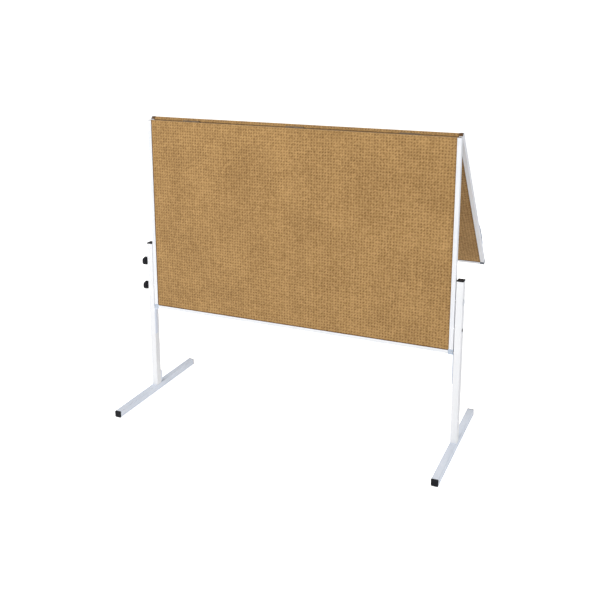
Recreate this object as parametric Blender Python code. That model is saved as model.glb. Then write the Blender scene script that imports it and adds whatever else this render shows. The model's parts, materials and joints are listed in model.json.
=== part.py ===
"""Folding pinboard on two T-shaped legs.

The lower half of the board is clamped between two posts. The upper half turns on three stiff
butt hinges along the top edge and hangs behind. Lengths are in metres, +Z is up, +X runs to the
viewer's right and the pinning face looks along -Y.
"""

import math

import bmesh
import bpy
from mathutils import Vector

MM = 0.001

# Driving dimensions
BOARD_WIDTH = 1200 * MM
HALF_LENGTH = 750 * MM  # from the fold axis to a half's free edge
BOARD_THICKNESS = 18 * MM
BOARD_BOTTOM = 360 * MM  # height of the lower half's free edge
BOARD_FRONT = -16 * MM  # the lower half's front, from the middle of the posts
HANG_ANGLE = math.radians(40.4)  # the upper half, from straight down
POST_WIDTH = 25 * MM
POST_DEPTH = 30 * MM
POST_TOP = 625 * MM
POST_GAP = 2 * MM  # between a post and the board's edge
FOOT_SECTION = 25 * MM
FOOT_LENGTH = 550 * MM
SCREW_HEIGHTS = {"upper": 548 * MM, "lower": 448 * MM}

# Small sizes
GAP = 0.3 * MM  # between pieces that rest on each other
CHANNEL_WALL = 1.5 * MM
STILE_LIP = 15 * MM
RAIL_LIP = 12 * MM
JUTE_THICKNESS = 1.2 * MM
JUTE_BEND = 1.8 * MM  # outer radius where the cloth turns over the fold edge
FOLD_EDGE = 1 * MM  # from the fold axis to a half's jute-wrapped edge
AXIS_BEHIND = 1.8 * MM  # from a half's back face to the fold axis
CORE_INSET = 4 * MM  # from the frame's outside to the core's edge
CORNER_WIDTH = 17 * MM
CORNER_HEIGHT = 16 * MM
CORNER_WALL = 1.8 * MM
TONGUE_THICKNESS = 1.6 * MM
TONGUE_WIDTH = 13 * MM
TONGUE_REACH = 30 * MM
TONGUE_ROOT = 1 * MM  # how far a tongue starts inside its corner piece
TUBE_WALL = 1.5 * MM
TUBE_ROUND = 2.5 * MM
PLUG_ROUND = 1 * MM
GLIDE_HEIGHT = 3 * MM
GLIDE_RADIUS = 8 * MM
GLIDE_FROM_END = 16 * MM
FOOT_CAP = 4 * MM
POST_CAP = 3 * MM
PLUG_DEPTH = 14 * MM
GUSSET_DEPTH = 15 * MM
GUSSET_HEIGHT = 58 * MM
GUSSET_WIDTH = 14 * MM
GUSSET_CHAMFER = 13 * MM
REST_BOTTOM = 250 * MM
REST_WIDTH = 16 * MM
REST_TAB = 19 * MM
REST_LEG = 2 * MM
REST_TAB_THICKNESS = 2.5 * MM
STUD_RADIUS = 4 * MM
STUD_CLEARANCE = 0.3 * MM
HOLE_RADIUS = 4.6 * MM
KNOB_RADIUS = 17.5 * MM
KNOB_HEIGHT = 22 * MM
KNOB_BORE = 14 * MM
KNOB_BOSS_RADIUS = 11 * MM
KNOB_BOSS_HEIGHT = 4 * MM
KNOB_CURVE = (  # height above the seat, share of the radius
    (6 * MM, 0.97),
    (9 * MM, 1.0),
    (14 * MM, 0.96),
    (18 * MM, 0.80),
    (20.8 * MM, 0.50),
)
KNOB_LOBES = 5
KNOB_LOBE_DEPTH = 0.1  # share of the radius
KNOB_SEGMENTS = 40
DOME_RADIUS = 10.7 * MM
DOME_HEIGHT = 3.8 * MM
SMALL_SCREW_RADIUS = 6 * MM
SMALL_SCREW_HEIGHT = 1.6 * MM
HEAD_CURVE = ((0.35, 0.95), (0.75, 0.65), (0.95, 0.3))  # shares of a head's height and radius
WASHER_RADIUS = 9 * MM
NUT_LENGTH = 14 * MM
NUT_HEIGHT = 18 * MM
NUT_THICKNESS = 10.6 * MM
POCKET_ROOM = 1 * MM
HINGE_PLACES = (-420 * MM, 0.0, 420 * MM)
LEAF_WIDTH = 70 * MM
LEAF_START = 0.8 * MM  # the plate runs into the barrel just past the axis
LEAF_LENGTH = 28 * MM
LEAF_THICKNESS = 1.5 * MM
KNUCKLE_RADIUS = 3.3 * MM
KNUCKLE_BORE = 1.85 * MM
PIN_RADIUS = 1.6 * MM
MIDDLE_KNUCKLE = 24 * MM
KNUCKLE_CLEARANCE = 0.7 * MM
HANDLE_START = 517 * MM  # from the fold axis, along the upper half
HANDLE_LENGTH = 143 * MM
HANDLE_WIDTH = 10 * MM
HANDLE_FOOT = 14 * MM
HANDLE_END_HEIGHT = 9 * MM
HANDLE_RISE = 7 * MM
HANDLE_THICKNESS = 3.6 * MM
ROUND_SEGMENTS = 24
BEND_STEPS = 3
CUT_BEYOND = 5 * MM  # how far a cutter runs past a face
MERGE_DISTANCE = 0.01 * MM
SMOOTH_BELOW = math.radians(35)

# Worked out from the sizes above
HALF_WIDTH = BOARD_WIDTH / 2
BACK_FACE = -AXIS_BEHIND  # a half's back, measured from the fold axis
FRONT_FACE = BACK_FACE - BOARD_THICKNESS
MIDDLE_PLANE = (FRONT_FACE + BACK_FACE) / 2
JUTE_SETBACK = CHANNEL_WALL + GAP
CORE_SETBACK = JUTE_SETBACK + JUTE_THICKNESS + GAP
CORE_THICKNESS = BOARD_THICKNESS - 2 * CORE_SETBACK
AXIS_HEIGHT = BOARD_BOTTOM + HALF_LENGTH
AXIS_DEPTH = BOARD_FRONT - FRONT_FACE
POST_X = HALF_WIDTH + POST_GAP + POST_WIDTH / 2
POST_INNER = HALF_WIDTH + POST_GAP
POST_OUTER = POST_INNER + POST_WIDTH
SCREW_DEPTH = BOARD_FRONT + BOARD_THICKNESS / 2
SCREW_TIP = HALF_WIDTH - CHANNEL_WALL - GAP - NUT_LENGTH - 2 * GAP
FOOT_TOP = GLIDE_HEIGHT + FOOT_SECTION
SIDES = {"left": -1, "right": 1}


# ---------------------------------------------------------------- materials


def paint(name, colour, roughness, metallic=0.0):
    """A Principled BSDF material with one colour."""
    material = bpy.data.materials.new(name)
    material.use_nodes = True
    shader = material.node_tree.nodes["Principled BSDF"]
    shader.inputs["Base Color"].default_value = (*colour, 1.0)
    shader.inputs["Roughness"].default_value = roughness
    shader.inputs["Metallic"].default_value = metallic
    material.diffuse_color = (*colour, 1.0)
    return material


def make_materials():
    """The finishes, by slot name."""
    return {
        "leg_paint": paint("leg_paint", (0.84, 0.86, 0.89), 0.38),
        "frame_aluminium": paint("frame_aluminium", (0.86, 0.87, 0.89), 0.35, 0.3),
        "corner_plastic": paint("corner_plastic", (0.60, 0.66, 0.74), 0.45),
        "dark_plastic": paint("dark_plastic", (0.09, 0.10, 0.12), 0.45),
        "black_plastic": paint("black_plastic", (0.012, 0.013, 0.016), 0.4),
        "jute": paint("jute", (0.43, 0.26, 0.10), 0.9),
        "core_board": paint("core_board", (0.36, 0.28, 0.19), 0.95),
        "zinc_steel": paint("zinc_steel", (0.62, 0.63, 0.65), 0.3, 0.9),
        "hinge_steel": paint("hinge_steel", (0.13, 0.095, 0.065), 0.4, 0.7),
        "handle_metal": paint("handle_metal", (0.62, 0.65, 0.70), 0.35, 0.5),
        "glide_rubber": paint("glide_rubber", (0.03, 0.03, 0.035), 0.7),
    }


# ---------------------------------------------------------------- shapes


def add_object(name, mesh_data, parent, material=None, location=(0, 0, 0)):
    """Turns a bmesh into an object with outward faces, placed under its parent."""
    bmesh.ops.remove_doubles(mesh_data, verts=mesh_data.verts, dist=MERGE_DISTANCE)
    bmesh.ops.recalc_face_normals(mesh_data, faces=mesh_data.faces)
    mesh = bpy.data.meshes.new(name)
    mesh_data.to_mesh(mesh)
    mesh_data.free()
    if material:
        mesh.materials.append(material)
    obj = bpy.data.objects.new(name, mesh)
    bpy.context.scene.collection.objects.link(obj)
    obj.parent = parent
    obj.location = location
    return obj


def axis_point(axis, along, u, v):
    """The point at distance along on an axis, with u and v on the two other axes in order."""
    if axis == "X":
        return Vector((along, u, v))
    if axis == "Y":
        return Vector((u, along, v))
    return Vector((u, v, along))


def extruded(loops, axis, start, end):
    """A closed bmesh: one outline, or an outline and a matching hole, drawn out along an axis."""
    mesh_data = bmesh.new()
    rings = [
        [
            [mesh_data.verts.new(axis_point(axis, along, u, v)) for u, v in loop]
            for along in (start, end)
        ]
        for loop in loops
    ]
    for near, far in rings:
        count = len(near)
        for i in range(count):
            j = (i + 1) % count
            mesh_data.faces.new((near[i], near[j], far[j], far[i]))
    for level in (0, 1):
        if len(rings) == 1:
            mesh_data.faces.new(rings[0][level])
            continue
        outer, inner = rings[0][level], rings[1][level]
        count = len(outer)
        for i in range(count):
            j = (i + 1) % count
            mesh_data.faces.new((outer[i], outer[j], inner[j], inner[i]))
    return mesh_data


def box(low, high):
    """A closed box between two corners."""
    (x0, y0, z0), (x1, y1, z1) = low, high
    return extruded([[(x0, y0), (x1, y0), (x1, y1), (x0, y1)]], "Z", z0, z1)


def rounded_rectangle(width, height, radius, steps=3):
    """An outline centred on the origin whose corners are arcs."""
    points = []
    for quarter in range(4):
        turn = quarter * math.pi / 2
        sign_u = 1 if quarter in (0, 3) else -1
        sign_v = 1 if quarter in (0, 1) else -1
        centre_u = sign_u * (width / 2 - radius)
        centre_v = sign_v * (height / 2 - radius)
        for step in range(steps + 1):
            angle = turn + step / steps * math.pi / 2
            points.append((centre_u + radius * math.cos(angle), centre_v + radius * math.sin(angle)))
    return points


def circle(radius, segments=ROUND_SEGMENTS, centre=(0.0, 0.0)):
    """Points on a circle."""
    turns = [2 * math.pi * i / segments for i in range(segments)]
    return [(centre[0] + radius * math.cos(t), centre[1] + radius * math.sin(t)) for t in turns]


def turned(profile, segments=ROUND_SEGMENTS, lobes=0, lobe_depth=0.0, smallest_lobed=0.0):
    """A solid turned about X from (along, radius) points; both ends lie on the axis.

    Radii above smallest_lobed can swell and shrink round the axis, which makes a star grip.
    """
    mesh_data = bmesh.new()
    rings = []
    for along, radius in profile:
        if radius == 0:
            rings.append([mesh_data.verts.new((along, 0, 0))])
            continue
        ring = []
        for i in range(segments):
            angle = 2 * math.pi * i / segments
            dip = 0.0
            if lobes and radius > smallest_lobed:
                dip = lobe_depth * (1 - math.cos(lobes * angle)) / 2
            reach = radius * (1 - dip)
            ring.append(mesh_data.verts.new((along, reach * math.cos(angle), reach * math.sin(angle))))
        rings.append(ring)
    for first, second in zip(rings, rings[1:]):
        for i in range(segments):
            j = (i + 1) % segments
            if len(first) == 1:
                mesh_data.faces.new((first[0], second[i], second[j]))
            elif len(second) == 1:
                mesh_data.faces.new((first[i], first[j], second[0]))
            else:
                mesh_data.faces.new((first[i], first[j], second[j], second[i]))
    return mesh_data


def smooth(obj):
    """Shades the round faces smooth and keeps the edges sharp."""
    obj.data.shade_smooth()
    obj.data.set_sharp_from_angle(angle=SMOOTH_BELOW)
    return obj


def combine(obj, tools, operation):
    """Adds a Boolean for each tool and hides the tool as a wire guide."""
    for tool in tools:
        tool.hide_render = True
        tool.display_type = "WIRE"
        modifier = obj.modifiers.new(tool.name, "BOOLEAN")
        modifier.operation = operation
        modifier.solver = "EXACT"
        modifier.object = tool
    return obj


def empty(name, parent, location=(0, 0, 0)):
    """An empty that carries other objects."""
    obj = bpy.data.objects.new(name, None)
    bpy.context.scene.collection.objects.link(obj)
    obj.parent = parent
    obj.location = location
    return obj


def mirror_box(side, x_low, x_high, y_low, y_high, z_low, z_high):
    """A box given for the right-hand side, mirrored to the left when side is -1."""
    xs = sorted((side * x_low, side * x_high))
    return box((xs[0], y_low, z_low), (xs[1], y_high, z_high))


# ---------------------------------------------------------------- legs


def make_foot(side_name, root, finishes):
    """A square tube on the floor with an end plug and a glide at each end."""
    x = SIDES[side_name] * POST_X
    level = GLIDE_HEIGHT + FOOT_SECTION / 2
    tube_end = FOOT_LENGTH / 2 - FOOT_CAP - GAP
    inside = FOOT_SECTION - 2 * TUBE_WALL
    loops = [
        rounded_rectangle(FOOT_SECTION, FOOT_SECTION, TUBE_ROUND),
        rounded_rectangle(inside, inside, TUBE_ROUND - TUBE_WALL),
    ]
    tube = extruded(loops, "Y", -tube_end, tube_end)
    add_object(f"foot_tube_{side_name}", tube, root, finishes["leg_paint"], (x, 0, level))
    for end_name, end in (("front", -1), ("back", 1)):
        plug = stepped_plug(FOOT_SECTION, FOOT_SECTION, FOOT_CAP)
        cap = add_object(f"foot_cap_{end_name}_{side_name}", plug, root, finishes["black_plastic"])
        cap.location = (x, end * FOOT_LENGTH / 2, level)
        cap.rotation_euler.x = -end * math.pi / 2
        glide = turned([(0, 0), (0, GLIDE_RADIUS), (GLIDE_HEIGHT - GAP, GLIDE_RADIUS), (GLIDE_HEIGHT - GAP, 0)])
        pad = add_object(f"foot_glide_{end_name}_{side_name}", glide, root, finishes["glide_rubber"])
        pad.location = (x, end * (FOOT_LENGTH / 2 - GLIDE_FROM_END), 0)
        pad.rotation_euler.y = -math.pi / 2
        smooth(pad)


def stepped_plug(width, depth, flange):
    """A tube plug that hangs down from Z = 0: a flange with a narrower plug below it."""
    mesh_data = bmesh.new()
    narrow = TUBE_WALL + GAP
    sizes = (
        (0, 0, TUBE_ROUND),
        (-flange, 0, TUBE_ROUND),
        (-flange, narrow, PLUG_ROUND),
        (-flange - PLUG_DEPTH, narrow, PLUG_ROUND),
    )
    rings = []
    for z, inset, radius in sizes:
        outline = rounded_rectangle(width - 2 * inset, depth - 2 * inset, radius)
        rings.append([mesh_data.verts.new((u, v, z)) for u, v in outline])
    for first, second in zip(rings, rings[1:]):
        count = len(first)
        for i in range(count):
            j = (i + 1) % count
            mesh_data.faces.new((first[i], first[j], second[j], second[i]))
    mesh_data.faces.new(rings[0])
    mesh_data.faces.new(rings[-1])
    return mesh_data


def make_post(side_name, root, finishes):
    """A rectangular tube standing on the foot, with its screw holes, cap, gusset and board rest."""
    side = SIDES[side_name]
    x = side * POST_X
    outer = rounded_rectangle(POST_WIDTH, POST_DEPTH, TUBE_ROUND)
    inner = rounded_rectangle(
        POST_WIDTH - 2 * TUBE_WALL, POST_DEPTH - 2 * TUBE_WALL, TUBE_ROUND - TUBE_WALL
    )
    tube = extruded([outer, inner], "Z", FOOT_TOP + GAP, POST_TOP - POST_CAP - GAP)
    post = add_object(f"post_tube_{side_name}", tube, root, finishes["leg_paint"], (x, 0, 0))
    cutters = [
        screw_hole(f"cut_post_{side_name}_{level}", root, x, height, POST_WIDTH)
        for level, height in SCREW_HEIGHTS.items()
    ]
    combine(post, cutters, "DIFFERENCE")
    plug = stepped_plug(POST_WIDTH, POST_DEPTH, POST_CAP)
    add_object(f"post_cap_{side_name}", plug, root, finishes["black_plastic"], (x, 0, POST_TOP))
    make_gusset(side_name, root, finishes)
    make_board_rest(side_name, root, finishes)


def screw_hole(name, parent, x, height, length):
    """A cutter along X at a clamping screw's height."""
    hole = extruded([circle(HOLE_RADIUS)], "X", -length, length)
    return add_object(name, hole, parent, None, (x, SCREW_DEPTH, height))


def make_gusset(side_name, root, finishes):
    """A chamfered plate that ties the back of the post to the foot."""
    x = SIDES[side_name] * POST_X
    near = POST_DEPTH / 2 + GAP
    bottom = FOOT_TOP + GAP
    outline = [
        (near, bottom),
        (near + GUSSET_DEPTH, bottom),
        (near + GUSSET_DEPTH, bottom + GUSSET_HEIGHT - GUSSET_CHAMFER),
        (near, bottom + GUSSET_HEIGHT),
    ]
    plate = extruded([outline], "X", -GUSSET_WIDTH / 2, GUSSET_WIDTH / 2)
    add_object(f"post_gusset_{side_name}", plate, root, finishes["leg_paint"], (x, 0, 0))


def make_board_rest(side_name, root, finishes):
    """An angle on the post's inner face whose tab carries the board's bottom corner."""
    side = SIDES[side_name]
    face = POST_INNER - GAP
    top = BOARD_BOTTOM - GAP
    outline = [
        (side * face, REST_BOTTOM),
        (side * face, top),
        (side * (face - REST_TAB), top),
        (side * (face - REST_TAB), top - REST_TAB_THICKNESS),
        (side * (face - REST_LEG), top - REST_TAB_THICKNESS),
        (side * (face - REST_LEG), REST_BOTTOM),
    ]
    near = SCREW_DEPTH - REST_WIDTH / 2
    angle = extruded([outline], "Y", near, near + REST_WIDTH)
    add_object(f"board_rest_{side_name}", angle, root, finishes["leg_paint"])


# ---------------------------------------------------------------- clamping screws


def make_clamps(side_name, root, finishes):
    """Spacer washers and nut blocks for a side's two clamping screws."""
    side = SIDES[side_name]
    for level, height in SCREW_HEIGHTS.items():
        where = (0, SCREW_DEPTH, height)
        ends = sorted((side * (HALF_WIDTH + GAP), side * (POST_INNER - GAP)))
        washer = extruded([circle(WASHER_RADIUS), circle(HOLE_RADIUS)], "X", *ends)
        smooth(add_object(f"spacer_{level}_{side_name}", washer, root, finishes["zinc_steel"], where))
        outer = HALF_WIDTH - CHANNEL_WALL - GAP
        ends = sorted((side * outer, side * (outer - NUT_LENGTH)))
        block = nut_block(ends)
        add_object(f"nut_block_{level}_{side_name}", block, root, finishes["zinc_steel"], where)


def nut_block(ends):
    """A rectangular block with a bore along X."""
    bore = circle(STUD_RADIUS + STUD_CLEARANCE)
    outline = []
    for u, v in bore:
        reach = max(abs(u) / (NUT_THICKNESS / 2), abs(v) / (NUT_HEIGHT / 2))
        outline.append((u / reach, v / reach))
    return extruded([outline, bore], "X", *ends)


def shank(side, outer_end):
    """A screw shank from outside the post to the far side of the nut block."""
    return extruded([circle(STUD_RADIUS)], "X", *sorted((side * SCREW_TIP, side * outer_end)))


def make_knob(level, root, finishes):
    """A star grip on the left post with its threaded stud, both on an empty on the stud's axis."""
    pivot = empty(f"knob_axis_{level}", root, (-POST_OUTER, SCREW_DEPTH, SCREW_HEIGHTS[level]))
    bore = STUD_RADIUS + STUD_CLEARANCE
    profile = [
        (-GAP - KNOB_BORE, 0),
        (-GAP - KNOB_BORE, bore),
        (-GAP, bore),
        (-GAP, KNOB_BOSS_RADIUS),
        (-KNOB_BOSS_HEIGHT, KNOB_BOSS_RADIUS),
        *((-height, KNOB_RADIUS * share) for height, share in KNOB_CURVE),
        (-KNOB_HEIGHT, 0),
    ]
    grip = turned(profile, KNOB_SEGMENTS, KNOB_LOBES, KNOB_LOBE_DEPTH, KNOB_BOSS_RADIUS)
    smooth(add_object(f"knob_{level}", grip, pivot, finishes["black_plastic"]))
    stud = shank(-1, POST_OUTER + KNOB_BORE - GAP)
    rod = add_object(f"knob_stud_{level}", stud, pivot, finishes["zinc_steel"], (POST_OUTER, 0, 0))
    smooth(rod)


def make_fixed_screw(level, root, finishes):
    """A headed screw through the right post, a broad dome above and a small one below."""
    if level == "upper":
        radius, height, finish = DOME_RADIUS, DOME_HEIGHT, "leg_paint"
    else:
        radius, height, finish = SMALL_SCREW_RADIUS, SMALL_SCREW_HEIGHT, "black_plastic"
    seat = POST_OUTER + GAP
    profile = [
        (SCREW_TIP, 0),
        (SCREW_TIP, STUD_RADIUS),
        (seat, STUD_RADIUS),
        (seat, radius),
        *((seat + height * rise, radius * share) for rise, share in HEAD_CURVE),
        (seat + height, 0),
    ]
    where = (0, SCREW_DEPTH, SCREW_HEIGHTS[level])
    smooth(add_object(f"post_screw_{level}", turned(profile), root, finishes[finish], where))


# ---------------------------------------------------------------- board halves


class Half:
    """One half of the board, built from the fold axis outwards.

    direction is -1 for the lower half, which runs down from the fold, and 1 for the upper half,
    which runs up when the board is open.
    """

    def __init__(self, name, direction, parent, finishes):
        self.name = name
        self.direction = direction
        self.parent = parent
        self.finishes = finishes

    def span(self, start, end):
        """Heights for distances from the fold axis, lowest first."""
        return sorted((self.direction * start, self.direction * end))

    def piece(self, label, mesh_data, finish):
        """An object of this half."""
        return add_object(f"{self.name}_{label}", mesh_data, self.parent, self.finishes[finish])

    def guide(self, label, mesh_data):
        """A Boolean tool of this half."""
        return add_object(f"guide_{self.name}_{label}", mesh_data, self.parent)

    def make_core(self, nut_distances):
        """The pinnable board, with a pocket in each edge for every nut block."""
        edge = HALF_WIDTH - CORE_INSET
        pocket = edge - NUT_LENGTH + CORE_INSET - CHANNEL_WALL - GAP - POCKET_ROOM
        near = FOLD_EDGE + JUTE_THICKNESS + GAP
        far = HALF_LENGTH - CORE_INSET
        right = [(edge, near)]
        for distance in sorted(nut_distances):
            half_pocket = NUT_HEIGHT / 2 + POCKET_ROOM
            right += [
                (edge, distance - half_pocket),
                (pocket, distance - half_pocket),
                (pocket, distance + half_pocket),
                (edge, distance + half_pocket),
            ]
        right.append((edge, far))
        left = [(-u, v) for u, v in reversed(right)]
        outline = [(u, self.direction * v) for u, v in right + left]
        start = FRONT_FACE + CORE_SETBACK
        self.piece("core", extruded([outline], "Y", start, start + CORE_THICKNESS), "core_board")

    def make_jute(self):
        """The cloth: one sheet up the front, over the fold edge and down the back."""
        front = FRONT_FACE + JUTE_SETBACK
        back = BACK_FACE - JUTE_SETBACK
        far = HALF_LENGTH - CORE_INSET
        outer = self.fold_path(front, back, FOLD_EDGE, JUTE_BEND, far)
        inside = JUTE_THICKNESS
        bend = JUTE_BEND - inside
        inner = self.fold_path(front + inside, back - inside, FOLD_EDGE + inside, bend, far)
        edge = HALF_WIDTH - CORE_INSET
        mesh_data = extruded([outer + inner[::-1]], "X", -edge, edge)
        self.piece("jute", mesh_data, "jute")

    def fold_path(self, front, back, top, radius, far):
        """Points (y, z) from the front's far edge, round the fold edge, to the back's far edge."""
        points = [(front, far)]
        for centre, first in ((front + radius, math.pi), (back - radius, math.pi / 2)):
            for step in range(BEND_STEPS + 1):
                angle = first - step / BEND_STEPS * math.pi / 2
                points.append((centre + radius * math.cos(angle), top + radius - radius * math.sin(angle)))
        points.append((back, far))
        return [(y, self.direction * distance) for y, distance in points]

    def make_stile(self, side_name, hole_distances):
        """A side channel whose lips hold the jute-covered core."""
        side = SIDES[side_name]
        outline = [(side * (HALF_WIDTH - u), v) for u, v in channel(STILE_LIP)]
        ends = self.span(FOLD_EDGE, HALF_LENGTH - CORNER_HEIGHT - GAP)
        stile = self.piece(f"stile_{side_name}", extruded([outline], "Z", *ends), "frame_aluminium")
        cutters = []
        for number, distance in enumerate(sorted(hole_distances)):
            hole = extruded(
                [circle(HOLE_RADIUS, centre=(MIDDLE_PLANE, self.direction * distance))],
                "X",
                *sorted((side * (HALF_WIDTH - CUT_BEYOND), side * (HALF_WIDTH + CUT_BEYOND))),
            )
            cutters.append(self.guide(f"hole_{side_name}_{number}", hole))
        combine(stile, cutters, "DIFFERENCE")

    def make_rail(self):
        """The channel along the free edge."""
        outline = [(y, self.direction * (HALF_LENGTH - u)) for u, y in channel(RAIL_LIP)]
        reach = HALF_WIDTH - CORNER_WIDTH - GAP
        self.piece("rail", extruded([outline], "X", -reach, reach), "frame_aluminium")

    def make_corner(self, side_name, finish):
        """A moulded cap on a free corner, with a tongue up the stile and one along the rail."""
        side = SIDES[side_name]
        outside = mirror_box(
            side, HALF_WIDTH - CORNER_WIDTH, HALF_WIDTH, FRONT_FACE, BACK_FACE,
            *self.span(HALF_LENGTH - CORNER_HEIGHT, HALF_LENGTH),
        )
        corner = self.piece(f"corner_{side_name}", outside, finish)
        hollow = mirror_box(
            side, HALF_WIDTH - CORNER_WIDTH - CUT_BEYOND, HALF_WIDTH - CORNER_WALL,
            FRONT_FACE + CHANNEL_WALL, BACK_FACE - CHANNEL_WALL,
            *self.span(HALF_LENGTH - CORNER_HEIGHT - CUT_BEYOND, HALF_LENGTH - CORNER_WALL),
        )
        combine(corner, [self.guide(f"hollow_{side_name}", hollow)], "DIFFERENCE")
        tongues = [
            self.guide(f"stile_tongue_{side_name}", self.tongue(side, CORNER_HEIGHT, upright=True)),
            self.guide(f"rail_tongue_{side_name}", self.tongue(side, CORNER_WIDTH, upright=False)),
        ]
        combine(corner, tongues, "UNION")

    def tongue(self, side, root_length, upright):
        """A strip that starts in the cap's wall and slides inside the channel next to it."""
        outer = CHANNEL_WALL + GAP
        inner = outer + TONGUE_THICKNESS
        root = CORNER_WALL / 2
        shoulder = root_length - TONGUE_ROOT
        tip = root_length + TONGUE_REACH
        strip = [
            (root, root),
            (root, shoulder),
            (outer, shoulder),
            (outer, tip),
            (inner, tip),
            (inner, root),
        ]
        outline = []
        for across, along in strip:
            x_inset, v_inset = (across, along) if upright else (along, across)
            outline.append((side * (HALF_WIDTH - x_inset), self.direction * (HALF_LENGTH - v_inset)))
        start = MIDDLE_PLANE - TONGUE_WIDTH / 2
        return extruded([outline], "Y", start, start + TONGUE_WIDTH)

    def make_leaf(self, number, place, middle):
        """A hinge leaf let into the back face; middle chooses the single middle knuckle."""
        low, high = self.span(LEAF_START, LEAF_LENGTH)
        plate = box(
            (place - LEAF_WIDTH / 2, -KNUCKLE_RADIUS, low),
            (place + LEAF_WIDTH / 2, -KNUCKLE_RADIUS + LEAF_THICKNESS, high),
        )
        leaf = self.piece(f"hinge_leaf_{number}", plate, "hinge_steel")
        barrel = extruded([circle(KNUCKLE_RADIUS)], "X", place - LEAF_WIDTH / 2, place + LEAF_WIDTH / 2)
        bore = extruded([circle(KNUCKLE_BORE)], "X", place - LEAF_WIDTH, place + LEAF_WIDTH)
        notches = [
            self.guide(f"notch_{number}_{i}", self.notch(low, high))
            for i, (low, high) in enumerate(self.notch_spans(place, middle))
        ]
        combine(leaf, [self.guide(f"barrel_{number}", barrel)], "UNION")
        combine(leaf, [self.guide(f"bore_{number}", bore), *notches], "DIFFERENCE")
        smooth(leaf)

    def notch_spans(self, place, middle):
        """Where the other leaf's knuckles sit, as ranges along X."""
        outer = LEAF_WIDTH / 2 + CUT_BEYOND
        if middle:
            inner = MIDDLE_KNUCKLE / 2 - GAP
            return [(place - outer, place - inner), (place + inner, place + outer)]
        return [(place - MIDDLE_KNUCKLE / 2, place + MIDDLE_KNUCKLE / 2)]

    def notch(self, low, high):
        """Room for a knuckle of the other leaf."""
        reach = KNUCKLE_RADIUS + KNUCKLE_CLEARANCE
        return box((low, -reach, -reach), (high, reach, reach))

    def make_handle(self, side_name):
        """A bow handle on the outer face of a stile, drawn out across its width."""
        outline = [(FRONT_FACE - GAP - s, self.direction * v) for v, s in handle_outline()]
        middle = SIDES[side_name] * (HALF_WIDTH - STILE_LIP / 2)
        bow = extruded([outline], "X", middle - HANDLE_WIDTH / 2, middle + HANDLE_WIDTH / 2)
        self.piece(f"handle_{side_name}", bow, "handle_metal")


def channel(lip):
    """A U outline: (distance in from the outside, y), open towards the board's middle."""
    wall = CHANNEL_WALL
    return [
        (0, FRONT_FACE),
        (lip, FRONT_FACE),
        (lip, FRONT_FACE + wall),
        (wall, FRONT_FACE + wall),
        (wall, BACK_FACE - wall),
        (lip, BACK_FACE - wall),
        (lip, BACK_FACE),
        (0, BACK_FACE),
    ]


def handle_outline():
    """(distance along the half, stand-off) points of the bow, its feet included."""
    half = HANDLE_LENGTH / 2
    middle = HANDLE_START + half
    steps = 10
    outer = []
    for i in range(steps + 1):
        t = -1 + 2 * i / steps
        outer.append((middle + t * half, HANDLE_END_HEIGHT + HANDLE_RISE * (1 - t * t)))
    inner_half = half - HANDLE_FOOT
    inner = []
    for i in range(steps + 1):
        t = 1 - 2 * i / steps
        reach = t * inner_half / half
        inner.append(
            (middle + t * inner_half, HANDLE_END_HEIGHT + HANDLE_RISE * (1 - reach * reach) - HANDLE_THICKNESS)
        )
    start, end = middle - half, middle + half
    return [(start, 0), *outer, (end, 0), (end - HANDLE_FOOT, 0), *inner, (start + HANDLE_FOOT, 0)]


def make_lower_half(root, finishes):
    """The half that is clamped between the posts."""
    carrier = empty("lower_half", root, (0, AXIS_DEPTH, AXIS_HEIGHT))
    half = Half("lower", -1, carrier, finishes)
    distances = [AXIS_HEIGHT - height for height in SCREW_HEIGHTS.values()]
    half.make_core(distances)
    half.make_jute()
    half.make_rail()
    for side_name in SIDES:
        half.make_stile(side_name, distances)
        half.make_corner(side_name, "corner_plastic")
    for number, place in enumerate(HINGE_PLACES, start=1):
        half.make_leaf(number, place, middle=False)
        pin = extruded([circle(PIN_RADIUS)], "X", place - LEAF_WIDTH / 2, place + LEAF_WIDTH / 2)
        smooth(add_object(f"hinge_pin_{number}", pin, carrier, finishes["hinge_steel"]))


def make_upper_half(root, finishes):
    """The half that folds, hung from an empty on the fold axis."""
    axis = empty("fold_axis", root, (0, AXIS_DEPTH, AXIS_HEIGHT))
    axis.rotation_euler.x = HANG_ANGLE - math.pi
    half = Half("upper", 1, axis, finishes)
    half.make_core([])
    half.make_jute()
    half.make_rail()
    for side_name, corner_finish in (("left", "corner_plastic"), ("right", "dark_plastic")):
        half.make_stile(side_name, [])
        half.make_corner(side_name, corner_finish)
        half.make_handle(side_name)
    for number, place in enumerate(HINGE_PLACES, start=1):
        half.make_leaf(number, place, middle=True)


# ---------------------------------------------------------------- assembly


def centre_over_floor(root):
    """Moves the root so that the origin is the middle of the bottom of the whole object's box."""
    bpy.context.view_layer.update()
    corners = [
        obj.matrix_world @ Vector(corner)
        for obj in bpy.context.scene.objects
        if obj.type == "MESH" and not obj.hide_render
        for corner in obj.bound_box
    ]
    for axis in (0, 1):
        values = [corner[axis] for corner in corners]
        root.location[axis] = -(min(values) + max(values)) / 2


def clear_scene():
    """Removes every object of the open scene."""
    for obj in list(bpy.data.objects):
        bpy.data.objects.remove(obj, do_unlink=True)


def main():
    """Builds the whole board."""
    clear_scene()
    finishes = make_materials()
    root = empty("stand_root", None)
    for side_name in SIDES:
        make_foot(side_name, root, finishes)
        make_post(side_name, root, finishes)
        make_clamps(side_name, root, finishes)
    for level in SCREW_HEIGHTS:
        make_knob(level, root, finishes)
        make_fixed_screw(level, root, finishes)
    make_lower_half(root, finishes)
    make_upper_half(root, finishes)
    centre_over_floor(root)


main()
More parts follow.
